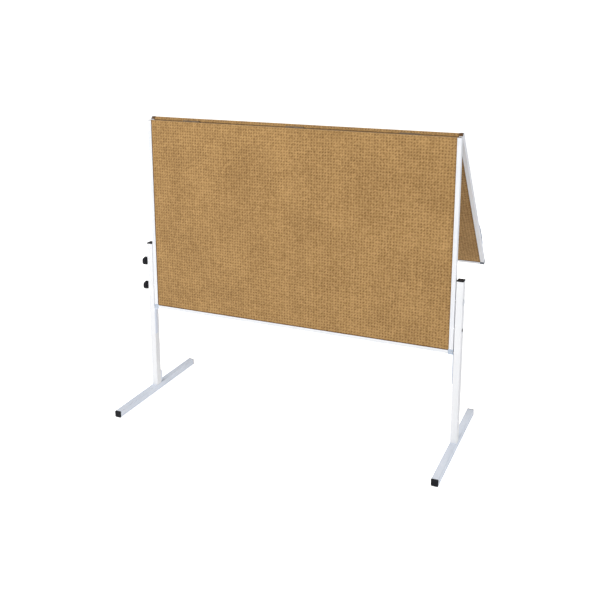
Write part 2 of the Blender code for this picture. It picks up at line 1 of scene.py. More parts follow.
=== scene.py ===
"""The finished look of a folding pinboard on two T-shaped legs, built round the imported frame.

Lengths are in metres, +Z is up, +X runs to the viewer's right and the pinning face looks along -Y.
A board half is drawn in its own frame: x across the board, y through its thickness from the fold
axis, and v along the half, away from the fold.
"""

from __future__ import annotations

import json
import logging
import math
import random
from dataclasses import dataclass, field
from enum import Enum
from typing import Iterable, Sequence, Union

import bmesh
import bpy
from mathutils import Matrix, Vector, noise


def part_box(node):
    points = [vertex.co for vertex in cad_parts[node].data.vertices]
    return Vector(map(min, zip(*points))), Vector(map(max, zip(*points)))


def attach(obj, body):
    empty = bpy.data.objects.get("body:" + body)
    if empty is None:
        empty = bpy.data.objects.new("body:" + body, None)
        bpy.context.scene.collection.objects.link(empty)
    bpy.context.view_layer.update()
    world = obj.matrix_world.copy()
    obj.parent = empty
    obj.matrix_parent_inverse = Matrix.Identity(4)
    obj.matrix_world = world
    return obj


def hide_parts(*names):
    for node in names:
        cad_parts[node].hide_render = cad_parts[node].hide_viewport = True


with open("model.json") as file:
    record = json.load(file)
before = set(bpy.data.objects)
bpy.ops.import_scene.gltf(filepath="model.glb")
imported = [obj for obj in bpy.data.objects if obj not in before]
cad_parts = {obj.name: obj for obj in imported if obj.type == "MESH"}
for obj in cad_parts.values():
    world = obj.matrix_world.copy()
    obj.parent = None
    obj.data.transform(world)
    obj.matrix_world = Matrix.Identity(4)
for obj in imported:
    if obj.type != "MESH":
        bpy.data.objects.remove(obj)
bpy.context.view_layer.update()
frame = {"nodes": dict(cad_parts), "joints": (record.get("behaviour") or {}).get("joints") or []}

LOG = logging.getLogger("pinboard")
MM = 0.001
Colour = tuple[float, float, float]
Point2 = tuple[float, float]
Value = Union[float, bpy.types.NodeSocket]


class Side(Enum):
    """The two sides of the board, with the sign of X on each."""

    LEFT = -1
    RIGHT = 1

    @property
    def label(self) -> str:
        """The side's name in node names."""
        return self.name.lower()


class Level(Enum):
    """The two clamping screws on each post."""

    UPPER = "upper"
    LOWER = "lower"


class Slot(Enum):
    """The material slots of the record."""

    LEG_PAINT = "leg_paint"
    FRAME = "frame_aluminium"
    CORNER = "corner_plastic"
    DARK_CORNER = "dark_plastic"
    BLACK = "black_plastic"
    JUTE = "jute"
    CORE = "core_board"
    ZINC = "zinc_steel"
    HINGE = "hinge_steel"
    HANDLE = "handle_metal"
    RUBBER = "glide_rubber"


# ---------------------------------------------------------------- node wiring


@dataclass
class Wiring:
    """Short calls for building one node tree."""

    tree: bpy.types.NodeTree

    def node(self, kind: str, **settings: object) -> bpy.types.Node:
        """Adds a node.

        Args:
            kind: The node's type.
            settings: Properties to set on it.

        Returns:
            The new node.
        """
        made = self.tree.nodes.new(kind)
        for key, value in settings.items():
            setattr(made, key, value)
        return made

    def feed(self, target: bpy.types.NodeSocket, value: object) -> None:
        """Links a socket to target, or sets target's own value.

        Args:
            target: The input socket.
            value: An output socket, or a number, vector or colour.
        """
        if isinstance(value, bpy.types.NodeSocket):
            self.tree.links.new(value, target)
        else:
            target.default_value = value

    def maths(self, operation: str, *terms: Value, clamp: bool = False) -> bpy.types.NodeSocket:
        """A Math node.

        Args:
            operation: The node's operation.
            terms: One to three numbers or sockets.
            clamp: Whether the result is held between 0 and 1.

        Returns:
            The result's socket.
        """
        made = self.node("ShaderNodeMath", operation=operation, use_clamp=clamp)
        for socket, term in zip(made.inputs, terms):
            self.feed(socket, term)
        return made.outputs[0]

    def ramp(self, value: Value, start: Value, end: Value, low: Value = 0.0, high: Value = 1.0) -> bpy.types.NodeSocket:
        """A smooth step from low to high as value goes from start to end.

        Args:
            value: What is mapped.
            start: Where the step starts.
            end: Where the step ends.
            low: The result up to start.
            high: The result past end.

        Returns:
            The result's socket.
        """
        made = self.node("ShaderNodeMapRange", interpolation_type="SMOOTHSTEP")
        for socket, term in zip(made.inputs, (value, start, end, low, high)):
            self.feed(socket, term)
        return made.outputs[0]

    def blend(self, factor: Value, first: object, second: object) -> bpy.types.NodeSocket:
        """Mixes two colours.

        Args:
            factor: 0 for the first colour and 1 for the second.
            first: A colour or a colour socket.
            second: A colour or a colour socket.

        Returns:
            The mixed colour's socket.
        """
        made = self.node("ShaderNodeMix", data_type="RGBA")
        self.feed(made.inputs[0], factor)
        self.feed(made.inputs[6], first if isinstance(first, bpy.types.NodeSocket) else (*first, 1.0))
        self.feed(made.inputs[7], second if isinstance(second, bpy.types.NodeSocket) else (*second, 1.0))
        return made.outputs[2]

    def noise(self, place: bpy.types.NodeSocket, size: Value, detail: float = 2.0) -> bpy.types.NodeSocket:
        """A noise value about 0.5, with features of about the given size.

        Args:
            place: The coordinates, in metres.
            size: The size of a feature, in metres.
            detail: How many finer layers it has.

        Returns:
            The value's socket.
        """
        made = self.node("ShaderNodeTexNoise")
        made.inputs["Detail"].default_value = detail
        self.feed(made.inputs["Vector"], place)
        self.feed(made.inputs["Scale"], self.maths("DIVIDE", 1.0, size))
        return made.outputs["Fac"]


def new_group(name: str, inputs: Sequence[tuple[str, str]], outputs: Sequence[tuple[str, str]]) -> tuple[Wiring, bpy.types.Node, bpy.types.Node]:
    """Starts a shader node group.

    Args:
        name: The group's name.
        inputs: Name and kind of each input socket.
        outputs: Name and kind of each output socket.

    Returns:
        The wiring, the group's input node and its output node.
    """
    tree = bpy.data.node_groups.new(name, "ShaderNodeTree")
    for direction, sockets in (("INPUT", inputs), ("OUTPUT", outputs)):
        for label, kind in sockets:
            tree.interface.new_socket(name=label, in_out=direction, socket_type=f"NodeSocket{kind}")
    wiring = Wiring(tree)
    return wiring, wiring.node("NodeGroupInput"), wiring.node("NodeGroupOutput")


def tone_group() -> bpy.types.NodeTree:
    """Slow changes of tone over a surface, as in any paint, moulding or rolled metal."""
    w, given, out = new_group(
        "surface_tone",
        [("Size", "Float"), ("Low colour", "Color"), ("High colour", "Color"), ("Low roughness", "Float"), ("High roughness", "Float")],
        [("Colour", "Color"), ("Roughness", "Float")],
    )
    place = w.node("ShaderNodeTexCoord").outputs["Object"]
    broad = w.noise(place, given.outputs["Size"], 3.0)
    fine = w.noise(place, w.maths("MULTIPLY", given.outputs["Size"], 0.11), 2.0)
    mask = w.ramp(w.maths("ADD", w.maths("MULTIPLY", broad, 0.7), w.maths("MULTIPLY", fine, 0.3)), 0.35, 0.65)
    w.feed(out.inputs["Colour"], w.blend(mask, given.outputs["Low colour"], given.outputs["High colour"]))
    w.feed(out.inputs["Roughness"], w.ramp(fine, 0.3, 0.7, given.outputs["Low roughness"], given.outputs["High roughness"]))
    return w.tree


def grain_group() -> bpy.types.NodeTree:
    """A fine relief: round on paint and plastic, drawn out along one axis on extruded metal."""
    w, given, out = new_group("fine_grain", [("Size", "Float"), ("Stretch", "Vector")], [("Height", "Float")])
    place = w.node("ShaderNodeTexCoord").outputs["Object"]
    scaled = w.node("ShaderNodeVectorMath", operation="MULTIPLY")
    w.feed(scaled.inputs[0], place)
    w.feed(scaled.inputs[1], given.outputs["Stretch"])
    coarse = w.noise(scaled.outputs[0], given.outputs["Size"], 1.0)
    fine = w.noise(scaled.outputs[0], w.maths("MULTIPLY", given.outputs["Size"], 0.35), 2.0)
    w.feed(out.inputs["Height"], w.maths("ADD", w.maths("MULTIPLY", coarse, 0.65), w.maths("MULTIPLY", fine, 0.35)))
    return w.tree


def weave_group() -> bpy.types.NodeTree:
    """A plain weave of uneven yarn in which every few yarns leave an open mesh.

    The Yarn socket is the yarn pitch in metres and Open says how far a mesh stands open.
    """
    w, given, out = new_group(
        "jute_weave",
        [("Cloth place", "Vector"), ("Yarn", "Float"), ("Yarns between openings", "Float"), ("Open", "Float")],
        [("Height", "Float"), ("Tone", "Float"), ("Gap", "Float"), ("Opening", "Float")],
    )
    parts = w.node("ShaderNodeSeparateXYZ")
    w.feed(parts.inputs[0], given.outputs["Cloth place"])
    across = w.maths("DIVIDE", parts.outputs[0], given.outputs["Yarn"])
    along = w.maths("DIVIDE", parts.outputs[1], given.outputs["Yarn"])
    wave_across = w.maths("SINE", w.maths("MULTIPLY", across, math.pi))
    wave_along = w.maths("SINE", w.maths("MULTIPLY", along, math.pi))
    crown_across = w.maths("ABSOLUTE", wave_across)
    crown_along = w.maths("ABSOLUTE", wave_along)
    crossing = w.maths("MULTIPLY", w.maths("MULTIPLY", wave_across, wave_along), 0.45)
    warp = w.maths("ADD", w.maths("MULTIPLY", crown_across, 0.55), crossing)
    weft = w.maths("SUBTRACT", w.maths("MULTIPLY", crown_along, 0.55), crossing)
    on_top = w.maths("GREATER_THAN", warp, weft)

    def yarn_tone(index: Value, run: Value, shift: float) -> bpy.types.NodeSocket:
        """One tone for each yarn, with slubs along it."""
        number = w.maths("ADD", w.maths("FLOOR", index), shift)
        own = w.node("ShaderNodeTexWhiteNoise", noise_dimensions="1D")
        w.feed(own.inputs["W"], number)
        place = w.node("ShaderNodeCombineXYZ")
        w.feed(place.inputs[0], w.maths("MULTIPLY", number, 7.3))
        w.feed(place.inputs[1], run)
        slub = w.noise(place.outputs[0], 5.0, 2.0)
        return w.maths("ADD", w.maths("MULTIPLY", own.outputs["Value"], 0.2), w.maths("MULTIPLY", slub, 0.8))

    warp_tone = yarn_tone(across, along, 0.0)
    weft_tone = yarn_tone(along, across, 917.0)
    top_tone = w.node("ShaderNodeMix", data_type="FLOAT")
    w.feed(top_tone.inputs[0], on_top)
    w.feed(top_tone.inputs[2], weft_tone)
    w.feed(top_tone.inputs[3], warp_tone)
    crossing_number = w.node("ShaderNodeCombineXYZ")
    w.feed(crossing_number.inputs[0], w.maths("FLOOR", w.maths("MULTIPLY", across, 0.5)))
    w.feed(crossing_number.inputs[1], w.maths("FLOOR", w.maths("MULTIPLY", along, 0.5)))
    knot = w.node("ShaderNodeTexWhiteNoise", noise_dimensions="2D")
    w.feed(knot.inputs["Vector"], crossing_number.outputs[0])
    tone = w.maths("ADD", w.maths("MULTIPLY", top_tone.outputs[0], 0.65), w.maths("MULTIPLY", knot.outputs["Value"], 0.35))

    def from_mesh(index: Value) -> bpy.types.NodeSocket:
        """Distance in yarns to the nearest line where meshes open."""
        share = w.maths("DIVIDE", index, given.outputs["Yarns between openings"])
        offset = w.maths("ABSOLUTE", w.maths("SUBTRACT", w.maths("FRACT", w.maths("ADD", share, 0.5)), 0.5))
        return w.maths("MULTIPLY", offset, given.outputs["Yarns between openings"])

    reach = w.maths("SQRT", w.maths("ADD", w.maths("POWER", from_mesh(across), 2.0), w.maths("POWER", from_mesh(along), 2.0)))
    hole = w.maths("MULTIPLY", w.ramp(reach, 0.8, 2.0, 1.0, 0.0), given.outputs["Open"])
    crown = w.maths("MAXIMUM", warp, weft)
    w.feed(out.inputs["Height"], w.maths("SUBTRACT", crown, hole))
    w.feed(out.inputs["Tone"], tone)
    w.feed(out.inputs["Gap"], w.ramp(w.maths("MAXIMUM", crown_across, crown_along), 0.25, 0.8, 1.0, 0.0))
    w.feed(out.inputs["Opening"], hole)
    return w.tree


class Groups:
    """The shader node groups, each built once."""

    def __init__(self) -> None:
        """Builds every group."""
        self.tone = tone_group()
        self.grain = grain_group()
        self.weave = weave_group()


# ---------------------------------------------------------------- finishes


def new_material(name: str) -> tuple[bpy.types.Material, Wiring, bpy.types.Node]:
    """Starts a material with a Principled BSDF.

    Args:
        name: The material's name.

    Returns:
        The material, its wiring and its shader.
    """
    material = bpy.data.materials.new(name)
    material.use_nodes = True
    wiring = Wiring(material.node_tree)
    return material, wiring, material.node_tree.nodes["Principled BSDF"]


@dataclass(frozen=True)
class SolidFinish:
    """Paint, moulded plastic or metal: slow changes of tone over a fine relief.

    stretch divides the relief along each axis, so a small number draws it out.
    """

    name: str
    slot: Slot
    low: Colour
    high: Colour
    roughness: Point2
    tone_size: float = 0.12
    grain_size: float = 0.9 * MM
    grain_depth: float = 0.012 * MM
    stretch: tuple[float, float, float] = (1.0, 1.0, 1.0)
    metallic: float = 0.0
    coat: float = 0.0
    specular: float = 0.5

    def build(self, groups: Groups) -> bpy.types.Material:
        """Makes the material.

        Args:
            groups: The shared node groups.

        Returns:
            The new material.
        """
        material, w, shader = new_material(self.name)
        tone = w.node("ShaderNodeGroup", node_tree=groups.tone)
        tone.inputs["Size"].default_value = self.tone_size
        tone.inputs["Low colour"].default_value = (*self.low, 1.0)
        tone.inputs["High colour"].default_value = (*self.high, 1.0)
        tone.inputs["Low roughness"].default_value = self.roughness[0]
        tone.inputs["High roughness"].default_value = self.roughness[1]
        grain = w.node("ShaderNodeGroup", node_tree=groups.grain)
        grain.inputs["Size"].default_value = self.grain_size
        grain.inputs["Stretch"].default_value = self.stretch
        bump = w.node("ShaderNodeBump")
        bump.inputs["Distance"].default_value = self.grain_depth
        w.feed(bump.inputs["Height"], grain.outputs["Height"])
        w.feed(shader.inputs["Base Color"], tone.outputs["Colour"])
        w.feed(shader.inputs["Roughness"], tone.outputs["Roughness"])
        w.feed(shader.inputs["Normal"], bump.outputs["Normal"])
        shader.inputs["Metallic"].default_value = self.metallic
        shader.inputs["Coat Weight"].default_value = self.coat
        shader.inputs["Coat Roughness"].default_value = 0.15
        shader.inputs["Specular IOR Level"].default_value = self.specular
        return material


@dataclass(frozen=True)
class JuteFinish:
    """Coarse tan jute: uneven yarn, small open meshes and broad changes of tone."""

    name: str = "woven_jute"
    slot: Slot = Slot.JUTE
    pale: Colour = (0.525, 0.316, 0.119)
    tan: Colour = (0.305, 0.172, 0.058)
    shade: Colour = (0.085, 0.035, 0.006)
    yarns_between: float = 4.0
    relief: float = 0.5 * MM
    sheen: float = 0.12
    side_cover: float = 11 * MM
    end_cover: float = 8 * MM
    shadow_reach: float = 6 * MM
    shadow_depth: float = 0.9
    size: Point2 = (1.192, 1.503)

    def lip_shadow(self, w: Wiring, place: bpy.types.NodeSocket) -> bpy.types.NodeSocket:
        """The painted shade that runs along the cloth next to the frame's lips, where the lips shade it.

        Args:
            w: The material's wiring.
            place: The cloth coordinates, in metres.

        Returns:
            The shadow's strength.
        """
        parts = w.node("ShaderNodeSeparateXYZ")
        w.feed(parts.inputs[0], place)
        strength: Value = 0.0
        for socket, extent, cover in zip(parts.outputs, self.size, (self.side_cover, self.end_cover)):
            far = w.maths("SUBTRACT", extent, socket)
            inside = w.maths("SUBTRACT", w.maths("MINIMUM", socket, far), cover)
            line = w.ramp(inside, 0.0, self.shadow_reach, self.shadow_depth, 0.0)
            strength = w.maths("MAXIMUM", strength, line)
        return strength

    def build(self, groups: Groups, yarn: float) -> bpy.types.Material:
        """Makes the material.

        Args:
            groups: The shared node groups.
            yarn: The yarn pitch in metres.

        Returns:
            The new material.
        """
        material, w, shader = new_material(self.name)
        place = w.node("ShaderNodeUVMap", uv_map=JuteSheet.UV_NAME).outputs["UV"]
        opening = w.node("ShaderNodeAttribute", attribute_name=JuteSheet.OPENING_NAME)
        weave = w.node("ShaderNodeGroup", node_tree=groups.weave)
        w.feed(weave.inputs["Cloth place"], place)
        weave.inputs["Yarn"].default_value = yarn
        weave.inputs["Yarns between openings"].default_value = self.yarns_between
        w.feed(weave.inputs["Open"], opening.outputs["Fac"])
        broad = w.noise(place, 0.16, 3.0)
        streaks = w.node("ShaderNodeMapping")
        streaks.inputs["Scale"].default_value = (1.0, 0.05, 1.0)
        w.feed(streaks.inputs["Vector"], place)
        tone = w.maths("ADD", w.maths("MULTIPLY", weave.outputs["Tone"], 0.65), w.maths("MULTIPLY", broad, 0.3))
        tone = w.maths("ADD", tone, w.maths("MULTIPLY", w.noise(streaks.outputs[0], 0.011, 1.0), 0.08))
        colour = w.blend(w.ramp(tone, 0.3, 0.75), self.tan, self.pale)
        # Painted shade in the gaps between yarns and in the open meshes.
        colour = w.blend(w.maths("MULTIPLY", weave.outputs["Gap"], 0.4), colour, self.shade)
        colour = w.blend(w.maths("MULTIPLY", weave.outputs["Opening"], 1.0, clamp=True), colour, self.shade)
        # Painted shade along the cloth next to the frame's lips.
        colour = w.blend(self.lip_shadow(w, place), colour, self.shade)
        fibre = w.noise(place, 0.7 * MM, 3.0)
        height = w.maths("ADD", weave.outputs["Height"], w.maths("MULTIPLY", fibre, 0.35))
        bump = w.node("ShaderNodeBump")
        bump.inputs["Distance"].default_value = self.relief
        bump.inputs["Strength"].default_value = 0.6
        w.feed(bump.inputs["Height"], height)
        w.feed(shader.inputs["Base Color"], colour)
        w.feed(shader.inputs["Roughness"], w.ramp(tone, 0.2, 0.8, 0.95, 0.82))
        w.feed(shader.inputs["Normal"], bump.outputs["Normal"])
        shader.inputs["Specular IOR Level"].default_value = 0.2
        shader.inputs["Sheen Weight"].default_value = self.sheen
        shader.inputs["Sheen Roughness"].default_value = 0.6
        return material


POST_PAINT = SolidFinish("post_powder_coat", Slot.LEG_PAINT, (0.785, 0.80, 0.83), (0.82, 0.832, 0.858), (0.36, 0.46), coat=0.1)
# The posts' leg paint, painted bluer and darker for the feet, gussets and board rests: painted shade.
SHADED_FOOT_PAINT = SolidFinish("foot_powder_coat", Slot.LEG_PAINT, (0.66, 0.72, 0.83), (0.72, 0.775, 0.875), (0.30, 0.42), coat=0.15)
FRAME_METAL = SolidFinish(
    "pale_satin_aluminium", Slot.FRAME, (0.765, 0.79, 0.835), (0.815, 0.83, 0.865), (0.36, 0.48),
    grain_size=0.5 * MM, grain_depth=0.004 * MM, stretch=(1.0, 1.0, 0.02), metallic=0.15,
)
RAIL_METAL = SolidFinish(
    "pale_satin_rail", Slot.FRAME, (0.765, 0.79, 0.835), (0.815, 0.83, 0.865), (0.36, 0.48),
    grain_size=0.5 * MM, grain_depth=0.004 * MM, stretch=(0.02, 1.0, 1.0), metallic=0.15,
)
CORNER_PLASTIC = SolidFinish("corner_plastic_blue_grey", Slot.CORNER, (0.42, 0.50, 0.62), (0.50, 0.57, 0.68), (0.38, 0.50), tone_size=0.02, grain_size=0.5 * MM)
# The blue-grey corner plastic, painted much darker for the upper right corner: painted shade.
DARK_CORNER = SolidFinish("corner_plastic_dark", Slot.DARK_CORNER, (0.13, 0.15, 0.18), (0.18, 0.20, 0.235), (0.38, 0.50), tone_size=0.02, grain_size=0.5 * MM, specular=0.25)
BLACK_PLASTIC = SolidFinish("moulded_black_plastic", Slot.BLACK, (0.009, 0.010, 0.013), (0.016, 0.017, 0.021), (0.42, 0.55), tone_size=0.02, grain_size=0.5 * MM, specular=0.12)
ZINC = SolidFinish("zinc_plated_steel", Slot.ZINC, (0.52, 0.54, 0.57), (0.68, 0.69, 0.70), (0.22, 0.38), tone_size=0.03, grain_size=0.4 * MM, metallic=0.95)
HINGE_STEEL = SolidFinish(
    "browned_hinge_steel", Slot.HINGE, (0.10, 0.072, 0.048), (0.15, 0.11, 0.075), (0.32, 0.46),
    tone_size=0.03, grain_size=0.4 * MM, metallic=0.6,
)
SCREW_BLACK = SolidFinish("blackened_screw", Slot.BLACK, (0.035, 0.037, 0.042), (0.06, 0.062, 0.068), (0.3, 0.42), tone_size=0.01, metallic=0.6)
HANDLE_METAL = SolidFinish("handle_silver", Slot.HANDLE, (0.42, 0.47, 0.56), (0.50, 0.55, 0.63), (0.26, 0.40), tone_size=0.05, grain_size=0.4 * MM, metallic=0.45)
SCREW_CAP = SolidFinish("pale_screw_cap", Slot.LEG_PAINT, (0.58, 0.62, 0.67), (0.66, 0.69, 0.73), (0.30, 0.40), tone_size=0.02, coat=0.3)
RUBBER = SolidFinish("glide_rubber_black", Slot.RUBBER, (0.020, 0.020, 0.023), (0.035, 0.035, 0.038), (0.62, 0.80), tone_size=0.02, grain_depth=0.03 * MM)
CORE_BOARD = SolidFinish("soft_fibreboard", Slot.CORE, (0.28, 0.20, 0.12), (0.42, 0.32, 0.21), (0.88, 0.98), tone_size=0.03, grain_size=2.0 * MM, grain_depth=0.2 * MM)


class Paints:
    """Builds each finish's material once and hands it out."""

    def __init__(self) -> None:
        """Builds the shared node groups."""
        self.groups = Groups()
        self.made: dict[str, bpy.types.Material] = {}

    def solid(self, finish: SolidFinish) -> bpy.types.Material:
        """The material of a paint, plastic or metal."""
        if finish.name not in self.made:
            self.made[finish.name] = finish.build(self.groups)
        return self.made[finish.name]

    def jute(self, finish: JuteFinish, yarn: float) -> bpy.types.Material:
        """The material of the jute, for a yarn pitch."""
        if finish.name not in self.made:
            self.made[finish.name] = finish.build(self.groups, yarn)
        return self.made[finish.name]


# ---------------------------------------------------------------- shapes


def rounded_rectangle(width: float, height: float, radius: float, steps: int = 6) -> list[Point2]:
    """An outline centred on the origin whose corners are arcs.

    Args:
        width: Its size along the first axis.
        height: Its size along the second axis.
        radius: The corners' radius.
        steps: Segments in each corner.

    Returns:
        The outline's points.
    """
    points = []
    for quarter in range(4):
        centre_u = (1 if quarter in (0, 3) else -1) * (width / 2 - radius)
        centre_v = (1 if quarter in (0, 1) else -1) * (height / 2 - radius)
        for step in range(steps + 1):
            angle = (quarter + step / steps) * math.pi / 2
            points.append((centre_u + radius * math.cos(angle), centre_v + radius * math.sin(angle)))
    return points


def arc(centre: Point2, radius: float, start: float, end: float, steps: int) -> list[Point2]:
    """Points on an arc.

    Args:
        centre: The arc's centre.
        radius: Its radius.
        start: The first angle, in degrees.
        end: The last angle, in degrees.
        steps: Segments in the arc.

    Returns:
        The points, both ends included.
    """
    angles = [math.radians(start + (end - start) * i / steps) for i in range(steps + 1)]
    return [(centre[0] + radius * math.cos(a), centre[1] + radius * math.sin(a)) for a in angles]


def bridge(shape: bmesh.types.BMesh, rings: Sequence[Sequence[bmesh.types.BMVert]], caps: bool = True) -> None:
    """Joins rings of equal length with quads.

    Args:
        shape: The mesh that holds the rings.
        rings: The rings, in order.
        caps: Whether the first and last rings are filled.
    """
    for first, second in zip(rings, rings[1:]):
        count = len(first)
        for i in range(count):
            j = (i + 1) % count
            shape.faces.new((first[i], first[j], second[j], second[i]))
    if caps:
        shape.faces.new(rings[0])
        shape.faces.new(rings[-1])


def turned(profile: Sequence[Point2], segments: int = 64, lobes: int = 0, lobe_depth: float = 0.0, lobed_from: float = 0.0) -> bmesh.types.BMesh:
    """A solid turned about X, as a star grip if it has lobes.

    Args:
        profile: (distance along X, radius) points; both ends have radius 0.
        segments: Segments round the axis.
        lobes: How many lobes the wide part has.
        lobe_depth: The dip between lobes, as a share of the radius.
        lobed_from: The radius above which lobes begin.

    Returns:
        The new mesh.
    """
    shape = bmesh.new()
    rings = []
    for along, radius in profile:
        if radius == 0:
            rings.append([shape.verts.new((along, 0, 0))] * segments)
            continue
        swell = min(1.0, max(0.0, (radius - lobed_from) / (2 * MM))) if lobes else 0.0
        ring = []
        for i in range(segments):
            angle = 2 * math.pi * i / segments
            reach = radius * (1 - swell * lobe_depth * (1 - math.cos(lobes * angle)) / 2)
            ring.append(shape.verts.new((along, reach * math.cos(angle), reach * math.sin(angle))))
        rings.append(ring)
    for first, second in zip(rings, rings[1:]):
        for i in range(segments):
            j = (i + 1) % segments
            corners = list(dict.fromkeys((first[i], first[j], second[j], second[i])))
            if len(corners) > 2:
                shape.faces.new(corners)
    return shape


def soften(shape: bmesh.types.BMesh, width: float, steps: int = 2, sharper_than: float = 40.0) -> None:
    """Rounds the sharp edges of a mesh.

    Args:
        shape: The mesh.
        width: The width of the rounding.
        steps: Its segments.
        sharper_than: The angle, in degrees, above which an edge is rounded.
    """
    bmesh.ops.remove_doubles(shape, verts=shape.verts, dist=0.001 * MM)
    bmesh.ops.recalc_face_normals(shape, faces=shape.faces)
    sharp = [e for e in shape.edges if len(e.link_faces) == 2 and math.degrees(e.calc_face_angle(0.0)) > sharper_than]
    bmesh.ops.bevel(shape, geom=sharp, offset=width, segments=steps, profile=0.5, affect="EDGES", clamp_overlap=True)


def solid(name: str, shape: bmesh.types.BMesh, matrix: Matrix | None = None) -> bpy.types.Object:
    """Turns a mesh into an object at the origin, with its place in the mesh.

    Args:
        name: The object's name.
        shape: The mesh, which is freed.
        matrix: Where the mesh goes.

    Returns:
        The new object, in the scene.
    """
    if matrix is not None:
        shape.transform(matrix)
    bmesh.ops.remove_doubles(shape, verts=shape.verts, dist=0.001 * MM)
    bmesh.ops.recalc_face_normals(shape, faces=shape.faces)
    mesh = bpy.data.meshes.new(name)
    shape.to_mesh(mesh)
    shape.free()
    made = bpy.data.objects.new(name, mesh)
    bpy.context.scene.collection.objects.link(made)
    return made


def evaluated(made: bpy.types.Object) -> bpy.types.Object:
    """Replaces an object's mesh by what its modifiers make, and removes them.

    Args:
        made: The object.

    Returns:
        The same object with a plain mesh.
    """
    bpy.context.view_layer.update()
    depsgraph = bpy.context.evaluated_depsgraph_get()
    result = bpy.data.meshes.new_from_object(made.evaluated_get(depsgraph))
    made.modifiers.clear()
    old = made.data
    made.data = result
    bpy.data.meshes.remove(old)
    result.name = made.name
    return made


def boolean(made: bpy.types.Object, tools: Iterable[bpy.types.Object], operation: str) -> bpy.types.Object:
    """Cuts tools out of an object, or joins them to it, and removes the tools.

    Args:
        made: The object that is changed.
        tools: Closed tool objects.
        operation: The Boolean's operation.

    Returns:
        The same object.
    """
    tools = list(tools)
    for tool in tools:
        modifier = made.modifiers.new(tool.name, "BOOLEAN")
        modifier.operation = operation
        modifier.solver = "EXACT"
        modifier.object = tool
    evaluated(made)
    for tool in tools:
        bpy.data.objects.remove(tool, do_unlink=True)
    return made


def dress(made: bpy.types.Object, material: bpy.types.Material, body: str, nodes: Sequence[str] = (), smooth: float = 32.0) -> bpy.types.Object:
    """Gives a piece its finish and its body, and hides the CAD nodes that it stands for.

    Args:
        made: The piece.
        material: Its material.
        body: The body that it rides on.
        nodes: The CAD nodes that it replaces.
        smooth: The angle, in degrees, up to which edges are shaded smooth.

    Returns:
        The piece.
    """
    made.data.materials.clear()
    made.data.materials.append(material)
    made.data.shade_smooth()
    made.data.set_sharp_from_angle(angle=math.radians(smooth))
    if nodes:
        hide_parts(*nodes)
    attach(made, body)
    LOG.info("%s: %d faces on %s", made.name, len(made.data.polygons), body)
    return made


# ---------------------------------------------------------------- geometry node trees


@dataclass
class GeometryTree:
    """A Geometry Nodes tree with named inputs, run on one object at a time."""

    name: str
    inputs: Sequence[tuple[str, str]]
    tree: bpy.types.NodeTree = field(init=False)
    wiring: Wiring = field(init=False)
    given: bpy.types.Node = field(init=False)
    out: bpy.types.Node = field(init=False)

    def __post_init__(self) -> None:
        """Makes the tree, its sockets and its two end nodes."""
        self.tree = bpy.data.node_groups.new(self.name, "GeometryNodeTree")
        self.tree.interface.new_socket(name="Geometry", in_out="INPUT", socket_type="NodeSocketGeometry")
        for label, kind in self.inputs:
            self.tree.interface.new_socket(name=label, in_out="INPUT", socket_type=f"NodeSocket{kind}")
        self.tree.interface.new_socket(name="Geometry", in_out="OUTPUT", socket_type="NodeSocketGeometry")
        self.wiring = Wiring(self.tree)
        self.given = self.wiring.node("NodeGroupInput")
        self.out = self.wiring.node("NodeGroupOutput")

    def close(self, geometry: bpy.types.NodeSocket) -> None:
        """Ends the tree with Realize Instances and Set Material.

        Args:
            geometry: The finished geometry's socket.
        """
        w = self.wiring
        realised = w.node("GeometryNodeRealizeInstances")
        finish = w.node("GeometryNodeSetMaterial")
        w.feed(realised.inputs[0], geometry)
        w.feed(finish.inputs["Geometry"], realised.outputs[0])
        w.feed(finish.inputs["Material"], self.given.outputs["Finish"])
        w.feed(self.out.inputs[0], finish.outputs[0])

    def run(self, made: bpy.types.Object, **values: object) -> bpy.types.Object:
        """Runs the tree on an object and keeps the result as a plain mesh.

        Args:
            made: The object whose mesh goes in.
            values: Input values by socket name, with _ for a space.

        Returns:
            The same object.
        """
        modifier = made.modifiers.new(self.name, "NODES")
        modifier.node_group = self.tree
        for item in self.tree.interface.items_tree:
            key = item.name.replace(" ", "_")
            if item.in_out == "INPUT" and key in values:
                modifier[item.identifier] = values[key]
        return evaluated(made)


def extrusion_tree() -> GeometryTree:
    """Draws a flat profile out into a bar or tube: Run is its direction and length."""
    made = GeometryTree("drawn_profile", [("Run", "Vector"), ("Finish", "Material")])
    w, given = made.wiring, made.given
    drawn = w.node("GeometryNodeExtrudeMesh", mode="FACES")
    w.feed(drawn.inputs["Mesh"], given.outputs["Geometry"])
    w.feed(drawn.inputs["Offset"], given.outputs["Run"])
    w.feed(drawn.inputs["Offset Scale"], 1.0)
    w.feed(drawn.inputs["Individual"], False)
    end = w.node("GeometryNodeFlipFaces")
    w.feed(end.inputs[0], given.outputs["Geometry"])
    joined = w.node("GeometryNodeJoinGeometry")
    w.feed(joined.inputs[0], drawn.outputs["Mesh"])
    w.feed(joined.inputs[0], end.outputs[0])
    merged = w.node("GeometryNodeMergeByDistance")
    w.feed(merged.inputs["Geometry"], joined.outputs[0])
    w.feed(merged.inputs["Distance"], 0.002 * MM)
    made.close(merged.outputs[0])
    return made


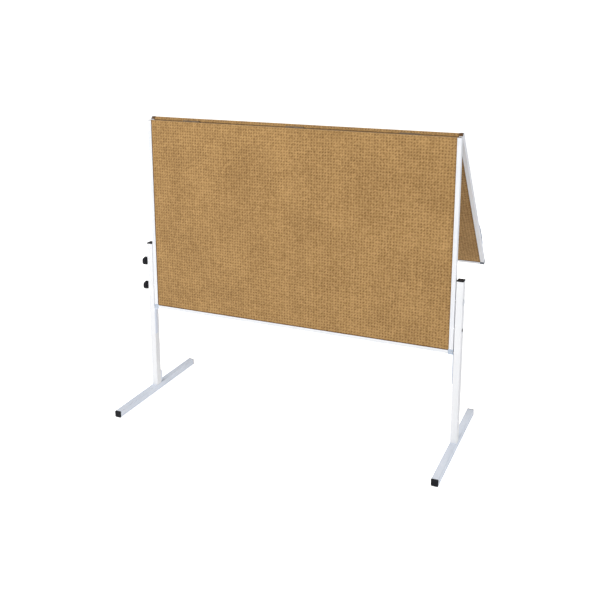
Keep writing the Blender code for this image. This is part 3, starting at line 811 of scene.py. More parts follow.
def screw_tree() -> GeometryTree:
    """Sets a cross-recessed screw head on each point, facing the way that Facing says."""
    made = GeometryTree("screw_heads", [("Radius", "Float"), ("Height", "Float"), ("Facing", "Vector"), ("Finish", "Material")])
    w, given = made.wiring, made.given
    radius, height = given.outputs["Radius"], given.outputs["Height"]
    head = w.node("GeometryNodeMeshCone", fill_type="NGON")
    for label, value in (
        ("Vertices", 24), ("Side Segments", 1), ("Fill Segments", 1), ("Radius Top", w.maths("MULTIPLY", radius, 0.72)),
        ("Radius Bottom", radius), ("Depth", height),
    ):
        w.feed(head.inputs[label], value)
    recess = w.node("GeometryNodeMeshBoolean", operation="DIFFERENCE", solver="EXACT")
    w.feed(recess.inputs["Mesh 1"], head.outputs["Mesh"])
    for turn in (0.0, math.pi / 2):
        size = w.node("ShaderNodeCombineXYZ")
        w.feed(size.inputs[0], w.maths("MULTIPLY", radius, 1.1))
        w.feed(size.inputs[1], w.maths("MULTIPLY", radius, 0.24))
        w.feed(size.inputs[2], height)
        blade = w.node("GeometryNodeMeshCube")
        w.feed(blade.inputs["Size"], size.outputs[0])
        lift = w.node("ShaderNodeCombineXYZ")
        w.feed(lift.inputs[2], w.maths("MULTIPLY", height, 0.95))
        placed = w.node("GeometryNodeTransform")
        w.feed(placed.inputs["Geometry"], blade.outputs["Mesh"])
        w.feed(placed.inputs["Translation"], lift.outputs[0])
        w.feed(placed.inputs["Rotation"], (0.0, 0.0, turn))
        w.feed(recess.inputs["Mesh 2"], placed.outputs[0])
    facing = w.node("FunctionNodeAlignRotationToVector", axis="Z")
    w.feed(facing.inputs["Vector"], given.outputs["Facing"])
    placed = w.node("GeometryNodeInstanceOnPoints")
    w.feed(placed.inputs["Points"], given.outputs["Geometry"])
    w.feed(placed.inputs["Instance"], recess.outputs["Mesh"])
    w.feed(placed.inputs["Rotation"], facing.outputs[0])
    made.close(placed.outputs[0])
    return made


def strap_tree() -> GeometryTree:
    """Sweeps a flat strap with rounded edges along a path that bends about X."""
    made = GeometryTree("bent_strap", [("Width", "Float"), ("Thickness", "Float"), ("Finish", "Material")])
    w, given = made.wiring, made.given
    path = w.node("GeometryNodeMeshToCurve")
    w.feed(path.inputs["Mesh"], given.outputs["Geometry"])
    level = w.node("GeometryNodeSetCurveNormal", mode="FREE")
    w.feed(level.inputs["Curve"], path.outputs[0])
    w.feed(level.inputs["Normal"], (1.0, 0.0, 0.0))
    section = w.node("GeometryNodeCurvePrimitiveQuadrilateral")
    w.feed(section.inputs["Width"], given.outputs["Width"])
    w.feed(section.inputs["Height"], given.outputs["Thickness"])
    rounded = w.node("GeometryNodeFilletCurve", mode="POLY")
    w.feed(rounded.inputs["Curve"], section.outputs[0])
    w.feed(rounded.inputs["Count"], 4)
    w.feed(rounded.inputs["Radius"], w.maths("MULTIPLY", given.outputs["Thickness"], 0.32))
    swept = w.node("GeometryNodeCurveToMesh")
    w.feed(swept.inputs["Curve"], level.outputs[0])
    w.feed(swept.inputs["Profile Curve"], rounded.outputs[0])
    w.feed(swept.inputs["Fill Caps"], True)
    made.close(swept.outputs[0])
    return made


class Trees:
    """The Geometry Nodes trees, each built once."""

    def __init__(self) -> None:
        """Builds every tree."""
        self.extrusion = extrusion_tree()
        self.screws = screw_tree()
        self.strap = strap_tree()


@dataclass
class Workshop:
    """What every sub-assembly builds with."""

    paints: Paints
    trees: Trees

    def extruded(self, name: str, loops: Sequence[Sequence[Vector]], run: Vector, finish: SolidFinish) -> bpy.types.Object:
        """A bar or tube drawn out from a profile.

        Args:
            name: The piece's name.
            loops: The outline, and for a tube the matching inner outline.
            run: Direction and length.
            finish: The finish.

        Returns:
            The piece, closed and facing outwards.
        """
        shape = bmesh.new()
        rings = [[shape.verts.new(p) for p in loop] for loop in loops]
        if len(rings) == 1:
            shape.faces.new(rings[0])
        else:
            bridge(shape, rings, caps=False)
        shape.normal_update()
        if sum((face.normal.dot(run) * face.calc_area() for face in shape.faces)) < 0:
            bmesh.ops.reverse_faces(shape, faces=shape.faces)
        mesh = bpy.data.meshes.new(name)
        shape.to_mesh(mesh)
        shape.free()
        made = bpy.data.objects.new(name, mesh)
        bpy.context.scene.collection.objects.link(made)
        return self.trees.extrusion.run(made, Run=run, Finish=self.paints.solid(finish))

    def screws(self, name: str, places: Sequence[Vector], radius: float, height: float, facing: Vector, finish: SolidFinish, body: str) -> bpy.types.Object:
        """Screw heads at given places.

        Args:
            name: The piece's name.
            places: The middle of each head.
            radius: The heads' radius.
            height: The heads' height.
            facing: The way that the heads face.
            finish: The finish.
            body: The body that they ride on.

        Returns:
            The piece.
        """
        mesh = bpy.data.meshes.new(name)
        mesh.from_pydata(list(places), [], [])
        made = bpy.data.objects.new(name, mesh)
        bpy.context.scene.collection.objects.link(made)
        material = self.paints.solid(finish)
        self.trees.screws.run(made, Radius=radius, Height=height, Facing=facing, Finish=material)
        return dress(made, material, body)


# ---------------------------------------------------------------- legs


@dataclass
class Leg:
    """A post on a flat square-tube foot, with its plugs, glides, gusset and board rest."""

    side: Side
    tube_wall: float = 1.5 * MM
    tube_round: float = 2.5 * MM
    cap_edge: float = 0.9 * MM
    plug_inset: float = 1.8 * MM
    plug_depth: float = 14 * MM
    foot_flange: float = 4 * MM
    post_flange: float = 3 * MM
    glide_edge: float = 0.9 * MM
    plate_edge: float = 0.8 * MM
    hole_radius: float = 4.6 * MM
    body: str = "stand"

    def node(self, label: str) -> str:
        """The name of one of this leg's CAD nodes."""
        return f"{label}_{self.side.label}"

    def tube(self, shop: Workshop, label: str, axis: int, finish: SolidFinish) -> bpy.types.Object:
        """A round-cornered tube that fills a CAD tube's box.

        Args:
            shop: The workshop.
            label: The CAD node's label without its side.
            axis: 0, 1 or 2 for the axis that it runs along.
            finish: The finish.

        Returns:
            The tube, not yet dressed.
        """
        low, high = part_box(self.node(label))
        size, middle = high - low, (low + high) / 2
        across = [i for i in range(3) if i != axis]
        loops = []
        for wall, radius in ((0.0, self.tube_round), (self.tube_wall, self.tube_round - self.tube_wall)):
            outline = rounded_rectangle(size[across[0]] - 2 * wall, size[across[1]] - 2 * wall, radius)
            ring = []
            for u, v in outline:
                point = middle.copy()
                point[across[0]] += u
                point[across[1]] += v
                point[axis] = low[axis]
                ring.append(point)
            loops.append(ring)
        run = Vector((0, 0, 0))
        run[axis] = size[axis]
        return shop.extruded(f"{self.side.label}_{label.replace('_tube', '')}", loops, run, finish)

    def plug(self, name: str, top: Vector, size: Point2, flange: float, turn: Matrix) -> bpy.types.Object:
        """A tube plug: a flange with a soft edge and a ribbed shank.

        Args:
            name: The piece's name.
            top: The middle of its outer face.
            size: The flange's size.
            flange: The flange's thickness.
            turn: The turn that takes +Z to the way the outer face looks.

        Returns:
            The plug, not yet dressed.
        """
        edge = self.cap_edge
        rings = [(0.0, edge * 1.6, 0.25), (0.0, edge, 0.1)]
        rings += [(edge * (1 - math.cos(a)), edge * (1 - math.sin(a)), 0.0) for a in (math.radians(30), math.radians(60), math.radians(90))]
        rings += [(flange, 0.0, 0.0), (flange, self.plug_inset, 0.0)]
        ribs = 4
        for rib in range(ribs):
            start = flange + 1 * MM + rib * (self.plug_depth - 2 * MM) / ribs
            rings += [(start, self.plug_inset + 0.5 * MM, 0.0), (start + 0.6 * MM, self.plug_inset, 0.0), (start + 1.4 * MM, self.plug_inset + 0.5 * MM, 0.0)]
        rings.append((flange + self.plug_depth, self.plug_inset + 0.5 * MM, 0.0))
        shape = bmesh.new()
        loops = []
        for depth, inset, _ in rings:
            radius = max(0.3 * MM, self.tube_round - 0.8 * inset)
            outline = rounded_rectangle(size[0] - 2 * inset, size[1] - 2 * inset, radius)
            loops.append([shape.verts.new((u, v, -depth)) for u, v in outline])
        bridge(shape, loops)
        return solid(name, shape, Matrix.Translation(top) @ turn)

    def build_post(self, shop: Workshop) -> None:
        """The upright tube with its two screw holes, and its cap."""
        post = self.tube(shop, "post_tube", 2, POST_PAINT)
        low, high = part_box(self.node("post_tube"))
        drills = []
        for level in Level:
            screw_low, screw_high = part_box(f"spacer_{level.value}_{self.side.label}")
            hole = turned([(-30 * MM, 0), (-30 * MM, self.hole_radius), (30 * MM, self.hole_radius), (30 * MM, 0)], 32)
            place = (screw_low + screw_high) / 2
            drills.append(solid(f"drill_{level.value}", hole, Matrix.Translation(place)))
        boolean(post, drills, "DIFFERENCE")
        dress(post, shop.paints.solid(POST_PAINT), self.body, [self.node("post_tube")])
        cap_low, cap_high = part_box(self.node("post_cap"))
        top = Vector(((low.x + high.x) / 2, (low.y + high.y) / 2, cap_high.z))
        size = (cap_high.x - cap_low.x, cap_high.y - cap_low.y)
        cap = self.plug(f"{self.side.label}_post_cap", top, size, self.post_flange, Matrix.Identity(4))
        dress(cap, shop.paints.solid(BLACK_PLASTIC), self.body, [self.node("post_cap")])

    def build_foot(self, shop: Workshop) -> None:
        """The flat tube with its end plugs and glides."""
        foot = self.tube(shop, "foot_tube", 1, SHADED_FOOT_PAINT)
        dress(foot, shop.paints.solid(SHADED_FOOT_PAINT), self.body, [self.node("foot_tube")])
        for end, sign in (("front", -1), ("back", 1)):
            low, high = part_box(self.node(f"foot_cap_{end}"))
            middle = (low + high) / 2
            middle.y = low.y if sign < 0 else high.y
            turn = Matrix.Rotation(-sign * math.pi / 2, 4, "X")
            size = (high.x - low.x, high.z - low.z)
            cap = self.plug(f"{self.side.label}_foot_cap_{end}", middle, size, self.foot_flange, turn)
            dress(cap, shop.paints.solid(BLACK_PLASTIC), self.body, [self.node(f"foot_cap_{end}")])
            low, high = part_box(self.node(f"foot_glide_{end}"))
            radius, height, edge = (high.x - low.x) / 2, high.z - low.z, self.glide_edge
            profile = [(0.0, 0.0), (0.0, radius - 3 * edge), (0.12 * MM, radius - 1.6 * edge)]
            profile += [(edge - u, radius - edge + v) for u, v in arc((0, 0), edge, 20, 90, 4)]
            profile += [(height, radius - 0.3 * MM), (height, 0.0)]
            place = Matrix.Translation(((low.x + high.x) / 2, (low.y + high.y) / 2, low.z))
            glide = solid(f"{self.side.label}_foot_glide_{end}", turned(profile, 48), place @ Matrix.Rotation(-math.pi / 2, 4, "Y"))
            dress(glide, shop.paints.solid(RUBBER), self.body, [self.node(f"foot_glide_{end}")])

    def build_gusset(self, shop: Workshop) -> None:
        """The chamfered plate that ties the back of the post to the foot."""
        low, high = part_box(self.node("post_gusset"))
        chamfer = 13 * MM
        outline = [(low.y, low.z), (high.y, low.z), (high.y, high.z - chamfer), (low.y, high.z)]
        shape = bmesh.new()
        bridge(shape, [[shape.verts.new((x, y, z)) for y, z in outline] for x in (low.x, high.x)])
        soften(shape, self.plate_edge, 3)
        gusset = solid(f"{self.side.label}_post_gusset", shape)
        dress(gusset, shop.paints.solid(SHADED_FOOT_PAINT), self.body, [self.node("post_gusset")])

    def build_rest(self, shop: Workshop) -> None:
        """The angle that carries the board's bottom corner."""
        low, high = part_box(self.node("board_rest"))
        tab, leg, bend = 2.5 * MM, 2.0 * MM, 2.6 * MM
        width = high.x - low.x
        outline = [(0.0, low.z), (0.0, high.z - bend)]
        outline += [(bend - bend * math.cos(a), high.z - bend + bend * math.sin(a)) for a in (math.radians(d) for d in (22.5, 45, 67.5))]
        outline += [(bend, high.z), (width, high.z), (width, high.z - tab), (leg + 0.6 * MM, high.z - tab), (leg, high.z - tab - 0.6 * MM), (leg, low.z)]
        outer = high.x if self.side is Side.RIGHT else low.x
        loops = [[Vector((outer - self.side.value * u, low.y, z)) for u, z in outline]]
        rest = shop.extruded(f"{self.side.label}_board_rest", loops, Vector((0, high.y - low.y, 0)), SHADED_FOOT_PAINT)
        dress(rest, shop.paints.solid(SHADED_FOOT_PAINT), self.body, [self.node("board_rest")])

    def build(self, shop: Workshop) -> None:
        """Builds the whole leg."""
        self.build_post(shop)
        self.build_foot(shop)
        self.build_gusset(shop)
        self.build_rest(shop)


# ---------------------------------------------------------------- clamping screws


@dataclass
class Knob:
    """A five-lobed star grip on the left post."""

    level: Level
    lobes: int = 5
    lobe_depth: float = 0.11
    boss: float = 11 * MM
    bore: float = 4.3 * MM
    bore_depth: float = 14 * MM

    def profile(self, height: float, radius: float) -> list[Point2]:
        """The grip's outline from its bore to the middle of its crown.

        Args:
            height: From its seat to the crown.
            radius: Its largest radius.

        Returns:
            (distance along X, radius) points, outwards to the left.
        """
        points = [(-self.bore_depth, 0.0), (-self.bore_depth, self.bore), (-0.5 * MM, self.bore), (0.0, self.bore + 0.5 * MM)]
        points += [(0.0, self.boss - 0.8 * MM), (-0.3 * MM, self.boss), (-3.6 * MM, self.boss), (-4.3 * MM, self.boss + 0.9 * MM)]
        shoulder = 4 * MM
        points += [(-4.6 * MM - shoulder * (1 - math.cos(a)), radius - shoulder * (1 - math.sin(a))) for a in (math.radians(d) for d in (8, 30, 52, 74, 90))]
        crown = 7 * MM
        start = height - crown
        points += [(-start - crown * math.sin(a) * 0.93, radius - 1.2 * crown * (1 - math.cos(a))) for a in (math.radians(d) for d in (0, 18, 36, 54, 72, 90))]
        points += [(-height + 0.25 * MM, 8.4 * MM), (-height + 0.9 * MM, 7.9 * MM), (-height + 0.9 * MM, 7.2 * MM), (-height + 0.2 * MM, 6.8 * MM)]
        points += [(-height + 0.03 * MM, 3.5 * MM), (-height, 0.0)]
        return points

    def build(self, shop: Workshop) -> None:
        """Builds the grip on its own body."""
        low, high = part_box(f"knob_{self.level.value}")
        joint = next(j for j in frame["joints"] if j["name"] == f"{self.level.value}_knob_turn")
        axis = Vector(joint["pos_m"])
        seat = high.x
        shape = turned(self.profile(seat - low.x, (high.z - low.z) / 2), 100, self.lobes, self.lobe_depth, self.boss + 1 * MM)
        grip = solid(f"{self.level.value}_star_grip", shape, Matrix.Translation((seat, axis.y, axis.z)))
        dress(grip, shop.paints.solid(BLACK_PLASTIC), f"{self.level.value}_knob", [f"knob_{self.level.value}"])


@dataclass
class PostScrew:
    """A headed screw through the right post: a broad pale dome, or a small dark head."""

    level: Level
    shank: float = 4 * MM

    def build(self, shop: Workshop) -> None:
        """Builds the screw with its head."""
        node = f"post_screw_{self.level.value}"
        low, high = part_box(node)
        post_low, post_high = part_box("post_tube_right")
        seat = post_high.x + 0.3 * MM
        radius, height = (high.z - low.z) / 2, high.x - seat
        profile = [(low.x, 0.0), (low.x, self.shank - 0.6 * MM), (low.x + 0.6 * MM, self.shank), (seat, self.shank), (seat, radius - 0.3 * MM), (seat + 0.3 * MM, radius)]
        rise = height - 0.6 * MM
        profile += [(seat + 0.6 * MM + rise * math.sin(a), radius * math.cos(a)) for a in (math.radians(d) for d in (10, 25, 40, 55, 70, 80))]
        profile.append((high.x, 0.0))
        middle = Vector((0.0, (low.y + high.y) / 2, (low.z + high.z) / 2))
        finish = SCREW_CAP if self.level is Level.UPPER else SCREW_BLACK
        screw = solid(f"{self.level.value}_post_screw", turned(profile, 48), Matrix.Translation(middle))
        dress(screw, shop.paints.solid(finish), "stand", [node])


# ---------------------------------------------------------------- board halves


@dataclass
class Place:
    """A half's own frame, which starts on the fold axis."""

    axis: Vector
    turn: float
    sign: float

    def direction(self, x: float, y: float, v: float) -> Vector:
        """A direction of the half's frame in the world."""
        return Matrix.Rotation(self.turn, 3, "X") @ Vector((x, y, self.sign * v))

    def point(self, x: float, y: float, v: float) -> Vector:
        """A point of the half's frame in the world."""
        return self.axis + self.direction(x, y, v)


@dataclass
class Board:
    """The sizes that both halves share, read from the frame."""

    width: float = 0.0
    length: float = 0.0
    thickness: float = 0.0
    axis: Vector = field(default_factory=Vector)
    hang: float = 0.0
    front: float = 0.0
    back: float = 0.0

    @classmethod
    def read(cls) -> "Board":
        """Reads the board's sizes from the frame."""
        hinge = next(j for j in frame["joints"] if j["name"] == "fold_hinge")
        left_low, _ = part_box("lower_stile_left")
        _, right_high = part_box("lower_stile_right")
        rail_low, rail_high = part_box("lower_rail")
        axis = Vector(hinge["pos_m"])
        return cls(
            width=right_high.x - left_low.x,
            length=axis.z - rail_low.z,
            thickness=rail_high.y - rail_low.y,
            axis=axis,
            hang=-math.radians(hinge["range_deg"][0]),
            front=rail_low.y - axis.y,
            back=rail_high.y - axis.y,
        )


@dataclass
class JuteSheet:
    """The cloth of one half: one sheet up the front, over the fold edge and down the back."""

    board: Board
    place: Place
    seed: int
    cells_across: int = 225
    cells_along: int = 284
    edge_inset: float = 4 * MM
    setback: float = 1.8 * MM
    fold_edge: float = 1 * MM
    bend: float = 1.8 * MM
    cloth: float = 1.2 * MM
    wander: float = 1.5 * MM
    pit: float = 0.45 * MM
    swell: float = 0.12 * MM
    bend_steps: int = 4

    UV_NAME = "cloth_metres"
    OPENING_NAME = "open_mesh"

    @property
    def width(self) -> float:
        """The sheet's width."""
        return self.board.width - 2 * self.edge_inset

    @property
    def straight(self) -> float:
        """The straight run on one face, up to the bend."""
        return self.board.length - self.edge_inset - self.fold_edge - self.bend

    @property
    def length(self) -> float:
        """The sheet's length, over the fold and back."""
        over = self.board.thickness - 2 * self.setback - 2 * self.bend
        return 2 * self.straight + math.pi * self.bend + over

    @property
    def cell(self) -> float:
        """The spacing of the sheet's rows, two yarns."""
        return self.length / self.cells_along

    def stations(self) -> list[float]:
        """Distances along the sheet, with extra rows in the two bends."""
        turn = math.pi / 2 * self.bend
        rows = [k * self.cell for k in range(self.cells_along + 1)]
        room = 0.5 * MM
        over = (self.straight + turn + room, self.length - self.straight - turn - room)
        rows = [r for r in rows if min(r, self.length - r) < self.straight - room or over[0] < r < over[1]]
        for start in (self.straight, self.length - self.straight - turn):
            rows += [start + turn * i / self.bend_steps for i in range(self.bend_steps + 1)]
        return sorted(rows)

    def path(self, along: float) -> tuple[float, float, float, float]:
        """Where a distance along the sheet lies.

        Args:
            along: The distance from the front's free edge.

        Returns:
            y, v, and the outward direction's y and v.
        """
        front, back = self.board.front + self.setback, self.board.back - self.setback
        turn = math.pi / 2 * self.bend
        top = self.fold_edge + self.bend
        if along <= self.straight:
            return front, self.fold_edge + self.bend + self.straight - along, -1.0, 0.0
        if along <= self.straight + turn:
            angle = (along - self.straight) / self.bend
            return front + self.bend * (1 - math.cos(angle)), top - self.bend * math.sin(angle), -math.cos(angle), -math.sin(angle)
        if along < self.length - self.straight - turn:
            return front + self.bend + along - self.straight - turn, self.fold_edge, 0.0, -1.0
        if along <= self.length - self.straight:
            angle = (along - (self.length - self.straight - turn)) / self.bend
            return back - self.bend * (1 - math.sin(angle)), top - self.bend * math.cos(angle), math.sin(angle), -math.cos(angle)
        return back, top + along - (self.length - self.straight), 1.0, 0.0

    def build(self, shop: Workshop, name: str, body: str, node: str, finish: JuteFinish) -> None:
        """Args:
            shop: The workshop.
            name: The piece's name.
            body: The body that it rides on.
            node: The CAD node that it replaces.
            finish: The cloth's finish.
        """
        draw = random.Random(self.seed)
        rows = self.stations()
        columns = self.cells_across + 1
        step = self.width / self.cells_across
        points: list[Vector] = []
        uvs: list[Point2] = []
        opening: list[float] = []
        for along in rows:
            y, v, out_y, out_v = self.path(along)
            row = along / self.cell
            on_row = abs(row - round(row)) < 1e-4
            from_ends = min(along, self.length - along, abs(along - self.length / 2))
            calm = min(1.0, from_ends / (20 * MM))
            for column in range(columns):
                x = -self.width / 2 + column * step
                spot = Vector((x * 9, along * 9, self.seed * 3.7))
                side_calm = calm * min(1.0, min(column, columns - 1 - column) / 4)
                shift_x = self.wander * side_calm * noise.noise(spot)
                shift_v = self.wander * side_calm * noise.noise(spot + Vector((31.0, 17.0, 5.0)))
                is_mesh = on_row and round(row) % 2 == 0 and column % 2 == 0
                patch = 0.5 + 0.5 * noise.noise(spot * 3.1)
                gap = (0.7 + 0.3 * patch) * (0.55 + 0.45 * draw.random()) if is_mesh else 0.0
                relief = -self.pit * gap * side_calm + self.swell * side_calm * noise.noise(spot * 0.8)
                points.append(self.place.point(x + shift_x, y + out_y * relief, v + out_v * relief + abs(out_y) * shift_v))
                uvs.append((column * self.cell, along))
                opening.append(gap)
        faces = []
        for r in range(len(rows) - 1):
            for c in range(self.cells_across):
                a = r * columns + c
                faces.append((a, a + 1, a + columns + 1, a + columns))
        inner: dict[int, int] = {}

        def lining(index: int) -> int:
            """The inner layer's copy of a rim vertex."""
            if index not in inner:
                row, column = divmod(index, columns)
                y, v, out_y, out_v = self.path(rows[row])
                inner[index] = len(points)
                points.append(self.place.point(-self.width / 2 + column * step, y - out_y * self.cloth, v - out_v * self.cloth))
                uvs.append(uvs[index])
                opening.append(0.0)
            return inner[index]

        last = (len(rows) - 1) * columns
        bottom, top = list(range(columns)), list(range(last, last + columns))
        left = [r * columns for r in range(len(rows))]
        right = [i + columns - 1 for i in left]
        for run in (bottom, right, top[::-1], left[::-1]):
            for a, b in zip(run, run[1:]):
                faces.append((b, a, lining(a), lining(b)))
        first_bend = next(i for i, r in enumerate(rows) if r >= self.straight - 1e-9)
        last_bend = next(i for i, r in enumerate(rows) if r >= self.length - self.straight - 1e-9)
        faces.append([lining(i) for i in bottom[::-1] + left[1:first_bend + 1] + right[1:first_bend + 1][::-1]])
        for r in range(first_bend, last_bend):
            faces.append((lining(right[r]), lining(left[r]), lining(left[r + 1]), lining(right[r + 1])))
        faces.append([lining(i) for i in right[last_bend:-1][::-1] + left[last_bend:-1] + top])
        mesh = bpy.data.meshes.new(name)
        mesh.from_pydata(points, [], faces)
        layer = mesh.uv_layers.new(name=self.UV_NAME)
        flat = [value for loop in mesh.loops for value in uvs[loop.vertex_index]]
        layer.data.foreach_set("uv", flat)
        mesh.attributes.new(self.OPENING_NAME, "FLOAT", "POINT").data.foreach_set("value", opening)
        shape = bmesh.new()
        shape.from_mesh(mesh)
        bmesh.ops.recalc_face_normals(shape, faces=shape.faces)
        shape.to_mesh(mesh)
        shape.free()
        sheet = bpy.data.objects.new(name, mesh)
        bpy.context.scene.collection.objects.link(sheet)
        dress(sheet, shop.paints.jute(finish, self.cell / 2), body, [node], smooth=60.0)
        self.width
        self.length


@dataclass
class Frame:
    """The extruded channels and moulded corners round one half."""

    board: Board
    place: Place
    half: str
    body: str
    wall: float = 1.5 * MM
    stile_lip: float = 15 * MM
    rail_lip: float = 12 * MM
    outer_round: float = 1.3 * MM
    crown_drop: float = 0.5 * MM
    groove_width: float = 1.6 * MM
    groove_depth: float = 0.55 * MM
    bead: float = 3.6 * MM
    bead_drop: float = 1.0 * MM
    side_groove: float = 4.6 * MM
    side_groove_width: float = 2.4 * MM
    side_groove_depth: float = 1.0 * MM
    corner_round: float = 4.5 * MM
    corner_edge: float = 1.1 * MM
    hole_radius: float = 4.6 * MM

    def profile(self, lip: float) -> list[Point2]:
        """The channel's section.

        Args:
            lip: How far it reaches over the cloth.

        Returns:
            (distance in from the outside, distance from the middle plane) points, all round.
        """
        half = self.board.thickness / 2
        groove = lip - self.bead - self.groove_width
        near, far, depth = self.side_groove, self.side_groove + self.side_groove_width, self.side_groove_depth
        face = [(0.0, near), (depth, near + 0.3 * MM), (depth, far - 0.3 * MM), (0.0, far)]
        face += [(self.outer_round - u, half - self.outer_round + v) for u, v in arc((0, 0), self.outer_round, 0, 90, 5)]
        crown = [self.outer_round + (groove - self.outer_round) * i / 5 for i in range(1, 6)]
        face += [(u, half - self.crown_drop * ((u - self.outer_round) / (groove - self.outer_round)) ** 2) for u in crown]
        floor = half - self.groove_depth
        face += [(groove + 0.3 * MM, floor), (lip - self.bead - 0.3 * MM, floor), (lip - self.bead, half - 0.1 * MM)]
        nose = [math.radians(d) for d in (20, 40, 60, 78, 90)]
        face += [(lip - self.bead + self.bead * math.sin(a), half - 0.1 * MM - self.bead_drop * (1 - math.cos(a))) for a in nose]
        face += [(lip, half - self.wall), (self.wall + 0.4 * MM, half - self.wall), (self.wall, half - self.wall - 0.4 * MM)]
        mirrored = [(u, -y) for u, y in reversed(face)]
        return face + mirrored

    def build_stile(self, shop: Workshop, side: Side, bored: bool) -> None:
        """A side channel.

        Args:
            shop: The workshop.
            side: Which side it is on.
            bored: Whether the clamping screws pass through it.
        """
        node = f"{self.half}_stile_{side.label}"
        middle = (self.board.front + self.board.back) / 2
        start, end = 1 * MM, self.board.length - 16.3 * MM
        outside = self.board.width / 2
        section = self.profile(self.stile_lip)
        loops = [[self.place.point(side.value * (outside - u), middle + y, start) for u, y in section]]
        run = self.place.direction(0, 0, end - start)
        stile = shop.extruded(f"{self.half}_frame_{side.label}", loops, run, FRAME_METAL)
        if bored:
            drills = []
            for level in Level:
                low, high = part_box(f"spacer_{level.value}_{side.label}")
                hole = turned([(-6 * MM, 0), (-6 * MM, self.hole_radius), (6 * MM, self.hole_radius), (6 * MM, 0)], 32)
                drills.append(solid(f"stile_drill_{level.value}", hole, Matrix.Translation((low + high) / 2)))
            boolean(stile, drills, "DIFFERENCE")
        dress(stile, shop.paints.solid(FRAME_METAL), self.body, [node])

    def build_rail(self, shop: Workshop) -> None:
        """The channel along the free edge."""
        middle = (self.board.front + self.board.back) / 2
        reach = self.board.width / 2 - 17.3 * MM
        section = self.profile(self.rail_lip)
        loops = [[self.place.point(-reach, middle + y, self.board.length - u) for u, y in section]]
        rail = shop.extruded(f"{self.half}_frame_rail", loops, Vector((2 * reach, 0, 0)), RAIL_METAL)
        dress(rail, shop.paints.solid(RAIL_METAL), self.body, [f"{self.half}_rail"])

    def block(self, low: Vector, high: Vector, side: Side) -> bmesh.types.BMesh:
        """A box in this half's frame, given as distances in from the outside corner."""
        shape = bmesh.new()
        outline = [(low.x, low.z), (high.x, low.z), (high.x, high.z), (low.x, high.z)]
        outside, end = self.board.width / 2, self.board.length
        rings = []
        for y in (low.y, high.y):
            rings.append([shape.verts.new(self.place.point(side.value * (outside - u), y, end - v)) for u, v in outline])
        bridge(shape, rings)
        return shape

    def build_corner(self, shop: Workshop, side: Side, finish: SolidFinish) -> None:
        """A moulded corner with a rounded outside, and its tongues in the channels.

        Args:
            shop: The workshop.
            side: Which side it is on.
            finish: The plastic's finish.
        """
        width, height = 17 * MM, 16 * MM
        outside, end = self.board.width / 2, self.board.length
        outline = [(u, v) for u, v in arc((self.corner_round, self.corner_round), self.corner_round, 180, 270, 7)]
        outline += [(width, 0.0), (width, height), (0.0, height)]
        shape = bmesh.new()
        rings = []
        for y in (self.board.front, self.board.back):
            rings.append([shape.verts.new(self.place.point(side.value * (outside - u), y, end - v)) for u, v in outline])
        bridge(shape, rings)
        soften(shape, self.corner_edge, 3, 50.0)
        corner = solid(f"{self.half}_corner_cap_{side.label}", shape)
        middle = (self.board.front + self.board.back) / 2
        inner, tip, half = 1.8 * MM, 46 * MM, 6.5 * MM
        tongues = [
            solid("stile_tongue", self.block(Vector((inner, middle - half, 9 * MM)), Vector((inner + 1.6 * MM, middle + half, tip)), side)),
            solid("rail_tongue", self.block(Vector((9 * MM, middle - half, inner)), Vector((tip + 1 * MM, middle + half, inner + 1.6 * MM)), side)),
        ]
        boolean(corner, tongues, "UNION")
        dress(corner, shop.paints.solid(finish), self.body, [f"{self.half}_corner_{side.label}"])

    def build(self, shop: Workshop, finishes: dict[Side, SolidFinish], bored: bool) -> None:
        """Builds the frame of the half.

        Args:
            shop: The workshop.
            finishes: The corner's plastic on each side.
            bored: Whether the clamping screws pass through the stiles.
        """
        self.build_rail(shop)
        for side in Side:
            self.build_stile(shop, side, bored)
            self.build_corner(shop, side, finishes[side])
        places = [
            self.place.point(side.value * (self.board.width / 2 - 5 * MM), self.board.front - 0.15 * MM, self.board.length - 7.5 * MM)
            for side in Side
        ]
        facing = self.place.direction(0, -1, 0)
        shop.screws(f"{self.half}_corner_screws", places, 2.3 * MM, 0.9 * MM, facing, ZINC, self.body)


